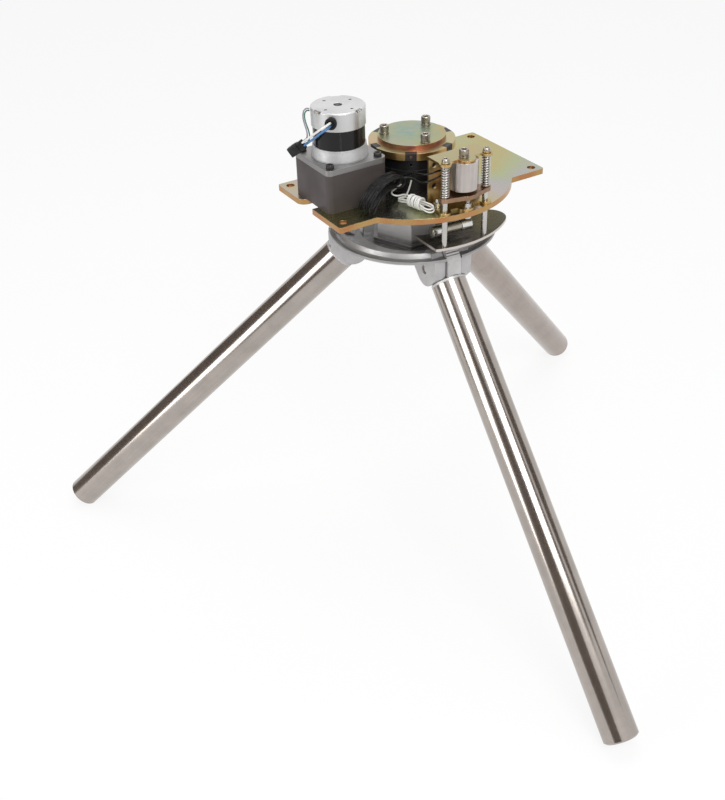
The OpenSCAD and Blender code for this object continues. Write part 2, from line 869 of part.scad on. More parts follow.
module cable_hank() {
    color(black)
        tube(cable_hank_path, cable_d, 6, [0, 0, 1]);
}

module magnet_lead_a() {
    color(black)
        tube(concat(past_end(cable_hank_path, cable_d), magnet_lead_a_way), magnet_lead_d, 8, [1, 0, 0]);
}

module magnet_lead_b() {
    color(black)
        tube(concat(before_start(cable_hank_path, cable_d), magnet_lead_b_way), magnet_lead_d, 8, [1, 0, 0]);
}

// Upright outline of one arm lobe, from the rim down to the pin's round
module lobe_outline() {
    rim_h = arm_h(-rim_drop) - 0.2;
    face_r = sqrt(pow(hub_r, 2) - pow(lobe_w / 2, 2)) - 0.4;
    polygon([
        [face_r, rim_h - 5], [face_r, arm_cut_h(stop_reach, face_r)], arm_point(stop_reach, 0), pin_at,
        arm_point(pin_reach, -lobe_r), arm_point(pin_reach - 30, -lobe_r), [hub_r - 40, arm_h(-floor_drop)],
        [hub_r - 24, rim_h - 3], [hub_r - 22, rim_h], [hub_r - 11.5, rim_h], [hub_r - 9, rim_h - 5]
    ]);
    translate(pin_at)
        circle(lobe_r);
}

// Half section of the hub's dish: flange and groove outside, raised lip, stepped inside
module dish() {
    rim = -rim_drop;
    rotate_extrude($fn = 128)
        polygon([
            [0, underside_z], [hub_r - 28, underside_z], [hub_r - 0.7, rim - 7.8], [hub_r, rim - 7.2],
            [hub_r, rim - 4.6], [hub_r - 0.5, rim - 4.3], [hub_r - 6, rim - 5.8], [hub_r - 8.5, rim - 4.6],
            [hub_r - 10.8, rim], [hub_r - 12.6, rim], [hub_r - 14, rim - 4], [hub_r - 24, rim - 7],
            [hub_r - 34, rim - 8], [hub_r - 34.6, -floor_drop], [0, -floor_drop]
        ]);
}

module hub_casting() {
    boss_d = boss_flats / cos(30);
    pad_d = (boss_flats + 9) / cos(30);
    slot_start = boss_flats / 2 + 2.5;
    slot_top = arm_h(underside_z) + 0.5;
    color(cast)
        difference() {
            union() {
                dish();
                translate([0, 0, -floor_drop - over])
                    rotate([0, 0, arm_turn + 30])
                        union() {
                            cylinder(d = boss_d, h = floor_drop + over + gear_z, $fn = 6);
                            cylinder(d = pad_d, h = over + 4, $fn = 6);
                        }
                for (turn = arm_turns)
                    in_arm_plane(turn, lobe_w)
                        lobe_outline();
            }
            translate([0, 0, underside_z - 40])
                cylinder(d = shaft_d, h = 120);
            for (turn = arm_turns) {
                in_arm_plane(turn, cheek_gap) {
                    translate([slot_start, slot_top - hub_r])
                        square([hub_r, hub_r]);
                    translate([pin_at[0], -hub_r - 20])
                        square([hub_r, hub_r]);
                    translate(pin_at)
                        circle(lobe_r);
                }
                cross_rod(turn, pin_at, pin_d, lobe_w + 2 * over);
            }
        }
}

module main_shaft() {
    color(steel)
        translate([0, 0, underside_z - nut_h - 4])
            cylinder(d = shaft_d, h = disc_z - underside_z + nut_h + 4);
}

module shaft_nut() {
    color(steel)
        translate([0, 0, underside_z - nut_h])
            difference() {
                cylinder(d = nut_d, h = nut_h, $fn = 6);
                translate([0, 0, -over])
                    cylinder(d = shaft_d, h = nut_h + 2 * over);
            }
}

// Angle that an involute has turned through where it reaches radius r
function involute_turn(base_r, r) =
    r <= base_r ? 0 : let (a = acos(base_r / r)) tan(a) * 180 / PI - a;

// Half the angle that a tooth takes up at radius r
function tooth_half(teeth, base_r, pitch_r, r) =
    90 / teeth * (1 - 2 * backlash) + involute_turn(base_r, pitch_r) - involute_turn(base_r, r);

// Outline of a spur gear with one tooth pointing along X
function gear_points(teeth) =
    let (
        pitch_r = gear_module * teeth / 2,
        base_r = pitch_r * cos(20),
        root_r = pitch_r - 1.25 * gear_module,
        tip_r = pitch_r + 0.85 * gear_module,
        start_r = max(base_r, root_r + 0.2 * gear_module),
        radii = concat([root_r], [for (k = [0 : 3]) start_r + (tip_r - start_r) * k / 3])
    )
    [
        for (tooth = [0 : teeth - 1])
            let (middle = 360 * tooth / teeth)
            each concat(
                [for (r = radii) let (a = middle - tooth_half(teeth, base_r, pitch_r, r)) r * [cos(a), sin(a)]],
                [
                    for (k = [len(radii) - 1 : -1 : 0])
                        let (r = radii[k], a = middle + tooth_half(teeth, base_r, pitch_r, r))
                        r * [cos(a), sin(a)]
                ]
            )
    ];

module drive_gear() {
    color(steel)
        translate([0, 0, gear_z])
            difference() {
                rotate([0, 0, mesh_turn])
                    linear_extrude(gear_w)
                        polygon(gear_points(gear_teeth));
                translate([0, 0, -over])
                    cylinder(d = shaft_d, h = gear_w + 2 * over);
            }
}

// Gearbox output shaft with its pinion, a gap of the pinion facing the drive gear's tooth
module pinion() {
    color(steel)
        translate([gearbox_x, gearbox_y, 0]) {
            translate([0, 0, gear_z])
                rotate([0, 0, mesh_turn + 180 + 180 / pinion_teeth])
                    linear_extrude(gear_w)
                        polygon(gear_points(pinion_teeth));
            translate([0, 0, gear_z])
                cylinder(d = output_d, h = output_rise - gear_z);
        }
}

module ring_slot_places() {
    for (k = [0 : ring_slots - 1])
        rotate([0, 0, arm_turn + 180 / ring_slots + 360 / ring_slots * k])
            translate([ring_d / 2 - slot_depth, 0, ring_z])
                children();
}

module slot_ring() {
    color(zinc)
        difference() {
            translate([0, 0, ring_z])
                cylinder(d = ring_d, h = ring_t, $fn = 96);
            translate([0, 0, ring_z - over])
                cylinder(d = shaft_d, h = ring_t + 2 * over);
            ring_slot_places()
                translate([0, -slot_w / 2, -over])
                    cube([slot_depth + over, slot_w, ring_t + 2 * over]);
            disc_screw_places()
                translate([0, 0, ring_z - over])
                    cylinder(d = disc_screw_d, h = ring_t + 2 * over);
        }
}

module slot_blocks() {
    sink = 0.6;
    color(black)
        ring_slot_places()
            difference() {
                translate([0, -slot_w / 2, 0])
                    cube([slot_depth - sink, slot_w, ring_t]);
                translate([slot_depth / 2, 0, ring_t / 2])
                    rotate([0, 90, 0])
                        cylinder(d = 3, h = slot_depth);
            }
}

module disc_screw_places() {
    for (turn = arm_turns)
        rotate([0, 0, turn])
            translate([disc_screw_r, 0, 0])
                children();
}

module top_disc() {
    color(zinc)
        translate([0, 0, disc_z])
            difference() {
                cylinder(d = disc_d, h = disc_t, $fn = 96);
                disc_screw_places()
                    translate([0, 0, -over])
                        cylinder(d = disc_screw_d, h = disc_t + 2 * over);
            }
}

module disc_screws() {
    color([0.62, 0.58, 0.52])
        disc_screw_places()
            translate([0, 0, disc_top])
                socket_screw(disc_screw_d, disc_t + ring_t - 1, 2.8, disc_screw_d);
}

// Lever that stands out from the boss above the crescent and carries the lock shaft
lock_at = [lock_r, arm_h(-lock_drop)];
lock_shaft_l = lock_barrel_l + 2 * roller_l + 2;

module lock_lever(turn) {
    color([0.60, 0.54, 0.36]) {
        in_arm_plane(turn, lever_w)
            translate([boss_flats / 2, lock_at[1] - lever_t / 2])
                square([lock_r - boss_flats / 2, lever_t]);
        cross_rod(turn, lock_at, lock_barrel_d, lock_barrel_l);
        cross_rod(turn, lock_at, lock_shaft_d, lock_shaft_l);
    }
}

module lock_rollers(turn) {
    middle = lock_barrel_l / 2 + 0.4 + roller_l / 2;
    color(steel)
        for (side = [-1, 1])
            translate([0, 0, apex_z])
                rotate([90, 0, turn])
                    translate([lock_at[0], lock_at[1], side * middle])
                        difference() {
                            cylinder(d = roller_d, h = roller_l, center = true);
                            cylinder(d = lock_shaft_d + 2 * run_fit, h = roller_l + over, center = true);
                        }
}

module arm_pin(turn) {
    color(steel)
        cross_rod(turn, pin_at, pin_d, pin_l);
}

// Upright outline of an arm root: the eye round the pin, the outer block and its stepped top
module root_outline() {
    face = root_face_r;
    pin_h = pin_at[1];
    inner = tube_d / 2 - 2.5;
    difference() {
        union() {
            polygon([
                [face, pin_h + 15.5], [face, arm_cut_h(root_reach + over, face)],
                arm_point(root_reach + over, -inner), arm_point(pin_reach, -inner), arm_point(pin_reach - 10, -8),
                [pin_at[0] + 3, pin_h + 17], [face - 15, pin_h + 30], [face - 7, pin_h + 30],
                [face - 7, pin_h + 27], [face - 5.7, pin_h + 27], [face - 5.7, pin_h + 24.3],
                [face - 4.5, pin_h + 24.3], [face - 4.5, pin_h + 21.5], [face - 3.8, pin_h + 21.5]
            ]);
            translate(pin_at)
                circle(lobe_r - 1);
        }
        translate(pin_at)
            circle(d = pin_d + 2 * run_fit);
    }
}

module arm_root(turn) {
    color(cast) {
        in_arm_plane(turn, tongue_w)
            root_outline();
        along_arm(turn, root_reach) {
            cylinder(d = tube_d, h = tube_reach - root_reach);
            cylinder(d = tube_d - 2 * tube_wall, h = tube_reach - root_reach + plug_l);
        }
    }
}

module arm_tube(turn) {
    tube_l = cap_reach - tube_reach;
    color(steel)
        along_arm(turn, tube_reach)
            difference() {
                cylinder(d = tube_d, h = tube_l);
                translate([0, 0, -over])
                    cylinder(d = tube_d - 2 * tube_wall, h = tube_l + 2 * over);
            }
}

module arm_cap(turn) {
    inset = 12;
    bevel = 1.8;
    inner_r = tube_d / 2 - tube_wall;
    color(steel)
        along_arm(turn, cap_reach)
            rotate_extrude()
                polygon([
                    [0, -inset], [inner_r, -inset], [inner_r, 0], [tube_d / 2, 0],
                    [tube_d / 2, end_cap_t - bevel], [tube_d / 2 - bevel, end_cap_t], [0, end_cap_t]
                ]);
}

// Plate under the magnet that the magnet lifts, clamped on both rods and tapered to them
module armature() {
    tab_r = armature_tab_d / 2;
    mid_r = armature_d / 2;
    rod_x = rod_span / 2;
    inset = 0.2;
    color([0.66, 0.50, 0.36])
        translate([0, 0, armature_z])
            linear_extrude(armature_t)
                difference() {
                    union() {
                        translate([0, magnet_y])
                            circle(mid_r);
                        for (x = rod_xs)
                            translate([x, rod_y])
                                circle(tab_r);
                        polygon([
                            [-rod_x, rod_y - tab_r + inset], [0, magnet_y - mid_r + inset],
                            [rod_x, rod_y - tab_r + inset], [rod_x, rod_y + tab_r - inset],
                            [0, magnet_y + mid_r - inset], [-rod_x, rod_y + tab_r - inset]
                        ]);
                    }
                    for (x = rod_xs)
                        translate([x, rod_y])
                            circle(d = rod_d);
                }
}

module guide_rods() {
    color(steel)
        for (x = rod_xs)
            translate([x, rod_y, crescent_z])
                cylinder(d = rod_d, h = bracket_top + 0.2 - crescent_z);
}

// Round heads on the rods, which rest on the bracket when the magnet lets go
module rod_heads() {
    washer_t = 1.2;
    head_h = 3.4;
    color(steel)
        for (x = rod_xs)
            translate([x, rod_y, bracket_top + 0.2]) {
                cylinder(d = 1.5 * rod_d, h = washer_t);
                translate([0, 0, washer_t])
                    cylinder(d1 = 1.3 * rod_d, d2 = 1.05 * rod_d, h = head_h);
            }
}

// Band-shaped plate on the rods' lower ends, straight at one end and round at the other
module crescent() {
    end_at = (crescent_r - crescent_w / 2) * [cos(crescent_turn), sin(crescent_turn)];
    color(steel)
        translate([0, 0, crescent_z])
            linear_extrude(crescent_t)
                difference() {
                    union() {
                        intersection() {
                            difference() {
                                circle(crescent_r, $fn = 128);
                                circle(crescent_r - crescent_w, $fn = 128);
                            }
                            polygon([
                                [0, 0], 2 * end_at, [2 * end_at[0], -2 * crescent_r],
                                [crescent_end_x, -2 * crescent_r], [crescent_end_x, 0]
                            ]);
                        }
                        translate(end_at)
                            circle(crescent_end_r);
                    }
                    for (x = rod_xs)
                        translate([x, rod_y])
                            circle(d = rod_d);
                }
}

// Compression spring round a guide rod, from the armature plate up to the bracket
spring_low = armature_top + spring_wire / 2 + 0.3;
spring_high = flange_under - spring_wire / 2 - 0.3;
spring_points = [
    for (i = [0 : 8 * spring_turns])
        [
            spring_d / 2 * cos(45 * i), spring_d / 2 * sin(45 * i),
            spring_low + (spring_high - spring_low) * i / (8 * spring_turns)
        ]
];
echo(str("spring least gap ", least_distance(spring_points, 5) - spring_wire));

module spring(x) {
    color(steel)
        translate([x, rod_y, 0])
            tube(spring_points, spring_wire, 6, [1, 0, 0]);
}

module spring_left() {
    spring(rod_xs[0]);
}

module spring_right() {
    spring(rod_xs[1]);
}

plate();
plate_screws();
gearbox_body();
gearbox_cover();
cover_screws();
motor_adapter();
motor_stator();
motor_cap();
lead_grommet();
lead_plug();
white_lead();
blue_lead();
sensor_lead_a();
sensor_lead_b();
clutch_housing();
bracket();
bracket_bolts();
magnet();
magnet_screw();
cable_hank();
magnet_lead_a();
magnet_lead_b();
wire_hank();
wire_wrap();
wire_end_a();
wire_end_b();
hub_casting();
main_shaft();
shaft_nut();
drive_gear();
slot_ring();
slot_blocks();
top_disc();
disc_screws();
lock_lever(arm_turns[0]);  // lock_lever_a
lock_lever(arm_turns[1]);  // lock_lever_b
lock_lever(arm_turns[2]);  // lock_lever_c
lock_rollers(arm_turns[0]);  // lock_rollers_a
lock_rollers(arm_turns[1]);  // lock_rollers_b
lock_rollers(arm_turns[2]);  // lock_rollers_c
arm_pin(arm_turns[0]);  // arm_pin_a
arm_pin(arm_turns[1]);  // arm_pin_b
arm_pin(arm_turns[2]);  // arm_pin_c
arm_root(arm_turns[0]);  // arm_root_a
arm_root(arm_turns[1]);  // arm_root_b
arm_root(arm_turns[2]);  // arm_root_c
arm_tube(arm_turns[0]);  // arm_tube_a
arm_tube(arm_turns[1]);  // arm_tube_b
arm_tube(arm_turns[2]);  // arm_tube_c
arm_cap(arm_turns[0]);  // arm_cap_a
arm_cap(arm_turns[1]);  // arm_cap_b
arm_cap(arm_turns[2]);  // arm_cap_c
armature();
guide_rods();
rod_heads();
crescent();
spring_left();
spring_right();
pinion();
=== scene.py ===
import json
import math

import bmesh
import bpy
from mathutils import Matrix, Vector


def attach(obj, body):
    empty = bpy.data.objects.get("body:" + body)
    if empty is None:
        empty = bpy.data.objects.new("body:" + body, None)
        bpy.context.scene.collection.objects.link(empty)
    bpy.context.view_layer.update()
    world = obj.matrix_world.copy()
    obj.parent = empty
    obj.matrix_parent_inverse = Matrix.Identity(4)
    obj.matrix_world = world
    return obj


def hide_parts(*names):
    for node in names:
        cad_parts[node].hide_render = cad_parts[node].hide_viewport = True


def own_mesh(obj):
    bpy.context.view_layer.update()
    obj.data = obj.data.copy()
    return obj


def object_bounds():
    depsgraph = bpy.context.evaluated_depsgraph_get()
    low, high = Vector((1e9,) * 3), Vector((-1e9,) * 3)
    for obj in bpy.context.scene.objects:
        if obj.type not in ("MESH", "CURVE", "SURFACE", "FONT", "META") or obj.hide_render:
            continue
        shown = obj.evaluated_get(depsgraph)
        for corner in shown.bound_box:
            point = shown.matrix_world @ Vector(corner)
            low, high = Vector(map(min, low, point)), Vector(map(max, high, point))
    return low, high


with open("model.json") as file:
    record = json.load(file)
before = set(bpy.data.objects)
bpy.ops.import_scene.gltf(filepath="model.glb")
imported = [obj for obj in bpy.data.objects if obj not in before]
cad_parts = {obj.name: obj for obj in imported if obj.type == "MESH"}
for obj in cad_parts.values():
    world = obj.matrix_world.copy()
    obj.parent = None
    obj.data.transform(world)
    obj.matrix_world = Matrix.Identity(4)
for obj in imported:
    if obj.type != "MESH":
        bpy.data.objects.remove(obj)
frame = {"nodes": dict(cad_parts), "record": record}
cad_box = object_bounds()

MM = 0.001
NODES = frame["nodes"]
SCENE = bpy.context.scene
SCENE.view_settings.view_transform = "Standard"


# Camera, fitted to the photograph
CAM_AT = Vector((-0.62139, -0.93232, 0.4838))
CAM_RIGHT = Vector((0.85089799, -0.52458842, -0.02792134))
CAM_UP = Vector((0.31838731, 0.47269867, 0.82169671))
CAM_BACK = Vector((-0.41785421, -0.70806988, 0.56924064))
CAM_LENS, CAM_SENSOR = 49.92, 36
CAM_CLIP = 0.02, 60


def make_camera():
    data = bpy.data.cameras.new("camera")
    data.sensor_width = CAM_SENSOR
    data.lens = CAM_LENS
    data.clip_start, data.clip_end = CAM_CLIP
    camera = bpy.data.objects.new("camera", data)
    SCENE.collection.objects.link(camera)
    turn = Matrix((CAM_RIGHT, CAM_UP, CAM_BACK)).transposed().to_4x4()
    camera.matrix_world = Matrix.Translation(CAM_AT) @ turn
    SCENE.camera = camera


make_camera()


# Material building blocks

class Look:
    """A material made of nodes, with the few building blocks that the looks below share."""

    def __init__(self, name, colour, metallic, roughness, **inputs):
        self.material = bpy.data.materials.new(name)
        self.material.use_nodes = True
        self.tree = self.material.node_tree
        self.bsdf = self.tree.nodes["Principled BSDF"]
        self.set("Base Color", (*colour, 1))
        self.set("Metallic", metallic)
        self.set("Roughness", roughness)
        for key, value in inputs.items():
            self.set(key.replace("_", " "), value)
        self.coords = self.add("TexCoord").outputs["Object"]
        self.normal = None

    def set(self, key, value):
        self.plug(self.bsdf.inputs[key], value)

    def plug(self, socket, value):
        if isinstance(value, bpy.types.NodeSocket):
            self.tree.links.new(value, socket)
        elif value is not None:
            socket.default_value = value

    def add(self, kind, *inputs, **settings):
        node = self.tree.nodes.new("ShaderNode" + kind)
        for key, value in settings.items():
            setattr(node, key, value)
        for i, value in enumerate(inputs):
            self.plug(node.inputs[i], value)
        return node

    def math(self, operation, a, b=None):
        return self.add("Math", a, b, operation=operation).outputs[0]

    def times(self, a, b):
        return self.math("MULTIPLY", a, b)

    def vector(self, operation, a, b=None):
        node = self.add("VectorMath", a, b, operation=operation)
        return node.outputs["Value" if operation in ("DOT_PRODUCT", "LENGTH") else "Vector"]

    def stretched(self, factors):
        return self.vector("MULTIPLY", self.coords, factors)

    def noise(self, scale, detail, rough, coords=None, distortion=0.0):
        node = self.add("TexNoise")
        self.plug(node.inputs["Vector"], coords or self.coords)
        self.plug(node.inputs["Scale"], scale)
        self.plug(node.inputs["Detail"], detail)
        self.plug(node.inputs["Roughness"], rough)
        self.plug(node.inputs["Distortion"], distortion)
        return node.outputs[0]

    def span(self, value, low, high, to_low=0.0, to_high=1.0):
        return self.add("MapRange", value, low, high, to_low, to_high).outputs[0]

    def ramp(self, value, stops):
        node = self.add("ValToRGB", value)
        items = node.color_ramp.elements
        while len(items) < len(stops):
            items.new(0.5)
        for item, (place, colour) in zip(items, stops):
            item.position = place
            item.color = (*colour, 1)
        return node.outputs[0]

    def mix(self, factor, a, b):
        """Goes from colour a to colour b; 6 and 7 are the node's colour sockets, and 2 its colour result."""
        node = self.add("Mix", data_type="RGBA")
        for place, value in ((0, factor), (6, a), (7, b)):
            self.plug(node.inputs[place], (*value, 1) if isinstance(value, tuple) else value)
        return node.outputs[2]

    def edges(self, radius):
        """Rounds the shading of sharp edges, and gives a mask that is 1 along them."""
        bevel = self.add("Bevel", radius, samples=4).outputs[0]
        true = self.add("NewGeometry").outputs["Normal"]
        self.normal = bevel
        return self.span(self.vector("DOT_PRODUCT", bevel, true), 0.995, 0.85)

    def crevice_shade(self, distance):
        """1 deep in seams and corners, 0 in the open: the mask for painting shade there."""
        node = self.add("AmbientOcclusion", samples=6)
        self.plug(node.inputs["Distance"], distance)
        return self.span(node.outputs["AO"], 0.55, 0.1)

    def upright(self):
        """1 on faces that look sideways, 0 on faces that look up or down."""
        parts = self.add("SeparateXYZ", self.add("NewGeometry").outputs["True Normal"])
        return self.span(self.math("ABSOLUTE", parts.outputs[2]), 0.75, 0.35)

    def bump(self, height, strength, distance):
        node = self.add("Bump")
        self.plug(node.inputs["Strength"], strength)
        self.plug(node.inputs["Distance"], distance)
        self.plug(node.inputs["Height"], height)
        if self.normal is not None:
            self.plug(node.inputs["Normal"], self.normal)
        self.normal = node.outputs[0]

    def lengthwise(self, axis, share):
        """Coordinates squeezed along an axis, so that a noise in them runs in streaks along it."""
        along = self.vector("DOT_PRODUCT", self.coords, axis)
        scale = self.add("VectorMath", axis, operation="SCALE")
        self.plug(scale.inputs["Scale"], self.times(along, 1 - share))
        return self.vector("SUBTRACT", self.coords, scale.outputs["Vector"])

    def done(self):
        if self.normal is not None:
            self.set("Normal", self.normal)
        return self.material


def shade(colour, factor):
    """A colour made darker or brighter by a factor."""
    return tuple(min(1, c * factor) for c in colour)


WORN_GOLD = (0.66, 0.50, 0.27)


def passivated(name, film_scale, films, edge_colours, shift, rough, smudge=None):
    """Yellow-passivated steel: a film that drifts between its colours, and other colours at the cut edges."""
    look = Look(name, films[0][1], metallic=1.0, roughness=rough)
    moved = look.vector("ADD", look.coords, shift)
    film = look.noise(film_scale, detail=1.5, rough=0.5, coords=moved, distortion=0.6)
    fine = look.noise(900.0, detail=2.0, rough=0.6)
    grain = look.noise(60.0, detail=3.0, rough=0.6, coords=look.stretched((1.0, 24.0, 1.0)))
    tone = look.math("ADD", film, look.times(look.math("SUBTRACT", grain, 0.5), 0.08))
    colour = look.ramp(tone, films)
    if smudge:
        centre, radius, stain = smudge
        away = look.vector("LENGTH", look.vector("SUBTRACT", look.coords, centre))
        near = look.span(away, radius, radius * 0.3)
        cloud = look.noise(70.0, detail=2.0, rough=0.5, coords=moved, distortion=1.0)
        cloud = look.span(cloud, 0.40, 0.58, 0.15, 0.9)
        colour = look.mix(look.times(near, cloud), colour, stain)
    side = look.upright()
    drift = look.noise(40.0, detail=2.0, rough=0.5, coords=moved)
    cut = look.ramp(drift, list(zip((0.35, 0.65), edge_colours)))
    colour = look.mix(side, colour, cut)
    worn = look.edges(0.0005)
    look.set("Base Color", look.mix(look.times(worn, 0.40), colour, WORN_GOLD))
    look.set("Roughness", look.span(look.math("ADD", fine, grain), 0.6, 1.4, rough * 0.94, rough * 1.1))
    look.bump(fine, strength=0.004, distance=0.0002)
    return look.done()


def steel(
    name, colour, roughness, streaks=(1.0, 1.0, 1.0), streak_scale=300.0, stain=0.2,
    axis=None, tone=0.0, side=None,
):
    """Plated or bare steel with fine streaks and slightly darker patches.

    A tube's axis has its streaks run along it; tone darkens the streaks; side colours the upright faces.
    """
    look = Look(name, colour, metallic=1.0, roughness=roughness)
    lines = look.stretched(streaks) if axis is None else look.lengthwise(axis, share=0.02)
    streak = look.noise(streak_scale, detail=3.0, rough=0.6, coords=lines)
    patch = look.noise(35.0, detail=4.0, rough=0.6)
    body = look.mix(look.span(patch, 0.35, 0.7), colour, shade(colour, 1 - stain))
    if tone:
        body = look.mix(look.span(streak, 0.35, 0.7, 0.0, tone), body, shade(colour, 0.45))
    if side:
        body = look.mix(look.upright(), body, side)
    if axis is None:
        worn = look.edges(0.0004)
        body = look.mix(look.times(worn, 0.5), body, shade(colour, 1.25))
        look.bump(streak, strength=0.03, distance=0.0002)
    spread = 0.25 if axis is None else 0.10
    look.set("Base Color", body)
    look.set("Roughness", look.span(streak, 0.3, 0.7, roughness * (1 - spread), roughness * (1 + spread)))
    return look.done()


# Places in the hub casting, in metres: each mask goes from 0 to 1 between two radii or two heights
DISH_EDGE, DISH_DEPTH, DISH_FLOOR = (0.080, 0.074), (-0.055, -0.062), (-0.068, -0.066)
BOSS_EDGE, BOSS_FOOT = (0.050, 0.048), (-0.058, -0.054)
GROOVE_EDGE, GROOVE_FLOOR = (0.0820, 0.0850), (-0.0592, -0.0575)


def hub_inside(look, body, colour, patch, dish_shade):
    """The hub casting's places: a boss brightened as painted light, a groove in the rim darkened as painted
    shade, and a dish darkened as painted shade under the plate, with smears.
    """
    x, y, z = look.add("SeparateXYZ", look.coords).outputs
    out = look.vector("LENGTH", look.add("CombineXYZ", x, y, 0.0).outputs[0])
    boss = look.times(look.span(out, *BOSS_EDGE), look.span(z, *BOSS_FOOT))
    groove = look.times(look.span(out, *GROOVE_EDGE), look.span(z, *GROOVE_FLOOR))
    dish = look.times(look.span(out, *DISH_EDGE), look.span(z, *DISH_DEPTH))
    dish = look.times(dish, look.span(z, *DISH_FLOOR))
    # painted shade for the dish under the plate, mottled by the patch noise
    painted_dish_shade = look.span(patch, 0.25, 0.75, dish_shade * 0.8, dish_shade)
    smear = look.span(look.noise(60.0, detail=5.0, rough=0.7), 0.53, 0.64, 0.0, 0.45)
    # painted light: the boss is brightened
    body = look.mix(boss, body, shade(colour, 1.35))
    # painted shade: the rim's band at the groove is darkened
    body = look.mix(look.times(groove, 0.55), body, shade(colour, 0.4))
    body = look.mix(look.times(dish, painted_dish_shade), body, shade(colour, 0.12))
    return look.mix(look.times(dish, smear), body, shade(colour, 0.7))


def casting(name, colour, roughness, dish_shade=0.0, seams=False):
    """Blasted light-alloy casting: grainy skin, dull patches, painted shade in corners; brighter edges, or
    edges darkened as painted shade at seams.

    The argument after roughness is for the hub: how dark its dish is, as painted shade under the plate.
    """
    look = Look(name, colour, metallic=0.6, roughness=roughness)
    grain = look.noise(1500.0, detail=3.0, rough=0.6)
    skin = look.noise(260.0, detail=4.0, rough=0.65)
    patch = look.noise(28.0, detail=4.0, rough=0.6)
    pits = look.span(look.noise(520.0, detail=1.0, rough=0.4), 0.66, 0.74)
    body = look.mix(look.span(patch, 0.35, 0.68), colour, shade(colour, 0.76))
    body = look.mix(look.times(pits, 0.30), body, shade(colour, 0.45))
    if dish_shade:
        body = hub_inside(look, body, colour, patch, dish_shade)
    # painted shade: seams and corners darkened from the ambient occlusion
    body = look.mix(look.times(look.crevice_shade(0.006), 0.85), body, shade(colour, 0.08))
    # with seams, sharp edges are darkened as painted shade for the gaps between parts; without, they are
    # brighter
    edge_r, share, tint = (0.0011, 0.9, 0.12) if seams else (0.0007, 0.5, 1.25)
    look.set("Base Color", look.mix(look.times(look.edges(edge_r), share), body, shade(colour, tint)))
    look.set("Roughness", look.span(skin, 0.3, 0.7, roughness * 0.85, roughness * 1.25))
    look.bump(look.math("ADD", grain, look.times(skin, 1.4)), strength=0.12, distance=0.0003)
    return look.done()


def alloy(name, colour, roughness, grain_scale):
    """Satin alloy with a fine grain and brighter edges."""
    look = Look(name, colour, metallic=1.0, roughness=roughness)
    grain = look.noise(grain_scale, detail=3.0, rough=0.6)
    lines = look.noise(90.0, detail=3.0, rough=0.6, coords=look.stretched((1.0, 1.0, 26.0)))
    patch = look.noise(40.0, detail=3.0, rough=0.6)
    body = look.mix(look.span(patch, 0.35, 0.7), colour, shade(colour, 0.88))
    worn = look.edges(0.0006)
    look.set("Base Color", look.mix(look.times(worn, 0.5), body, shade(colour, 1.2)))
    surface = look.math("ADD", grain, lines)
    look.set("Roughness", look.span(surface, 0.6, 1.4, roughness * 0.75, roughness * 1.3))
    look.bump(surface, strength=0.02, distance=0.0002)
    return look.done()


def paint(name, colour, roughness, scuffs):
    """Satin paint with an orange-peel skin, a few pale scuffs and rubbed edges."""
    look = Look(name, colour, metallic=0.0, roughness=roughness, Specular_IOR_Level=0.3)
    peel = look.noise(1100.0, detail=2.0, rough=0.5)
    patch = look.noise(22.0, detail=3.0, rough=0.6)
    spots = look.span(look.noise(130.0, detail=2.0, rough=0.4, distortion=1.5), 0.76, 0.79)
    pale = tuple(min(1, c + 0.28) for c in colour)
    body = look.mix(look.span(patch, 0.35, 0.7), colour, shade(colour, 0.78))
    body = look.mix(look.times(spots, scuffs), body, pale)
    worn = look.edges(0.0006)
    look.set("Base Color", look.mix(look.times(worn, 0.35), body, pale))
    look.set("Roughness", look.span(patch, 0.3, 0.7, roughness * 0.85, roughness * 1.2))
    look.bump(peel, strength=0.04, distance=0.0002)
    return look.done()


def plastic(name, colour, roughness, grain_scale=1400.0):
    """Moulded or extruded plastic and rubber, with a faint grain and dusty patches."""
    black = max(colour) < 0.05
    look = Look(name, colour, metallic=0.0, roughness=roughness, Specular_IOR_Level=0.25 if black else 0.45)
    grain = look.noise(grain_scale, detail=2.0, rough=0.5)
    patch = look.noise(160.0, detail=3.0, rough=0.6)
    dusty = tuple(c * 0.9 + 0.012 for c in colour)
    look.set("Base Color", look.mix(look.span(patch, 0.4, 0.75), colour, dusty))
    look.set("Roughness", look.span(patch, 0.3, 0.7, roughness * 0.85, roughness * 1.2))
    look.bump(grain, strength=0.06, distance=0.0001)
    return look.done()


# Colours of the passivated pieces: two for the cut edges, and the stops of the film's ramp
COPPER_EDGE = ((0.45, 0.21, 0.09), (0.46, 0.29, 0.12))
GOLD_EDGE = ((0.54, 0.33, 0.13), (0.50, 0.38, 0.17))
ROSE_EDGE = ((0.42, 0.15, 0.12), (0.42, 0.24, 0.15))
PLATE_FILM = [
    (0.28, (0.46, 0.35, 0.13)), (0.40, (0.44, 0.39, 0.17)), (0.48, (0.39, 0.42, 0.24)),
    (0.55, (0.40, 0.39, 0.36)), (0.62, (0.44, 0.39, 0.38)), (0.74, (0.46, 0.39, 0.16)),
]
DISC_FILM = [
    (0.30, (0.44, 0.29, 0.13)), (0.42, (0.41, 0.35, 0.16)), (0.50, (0.34, 0.36, 0.20)),
    (0.58, (0.35, 0.35, 0.27)), (0.66, (0.43, 0.29, 0.20)), (0.74, (0.41, 0.34, 0.17)),
]
GOLD_FILM = [
    (0.32, (0.50, 0.38, 0.18)), (0.48, (0.50, 0.42, 0.22)),
    (0.60, (0.45, 0.41, 0.23)), (0.70, (0.50, 0.38, 0.22)),
]
BRACKET_FILM = [
    (0.32, (0.45, 0.34, 0.15)), (0.48, (0.43, 0.36, 0.18)),
    (0.60, (0.39, 0.35, 0.19)), (0.70, (0.44, 0.33, 0.17)),
]
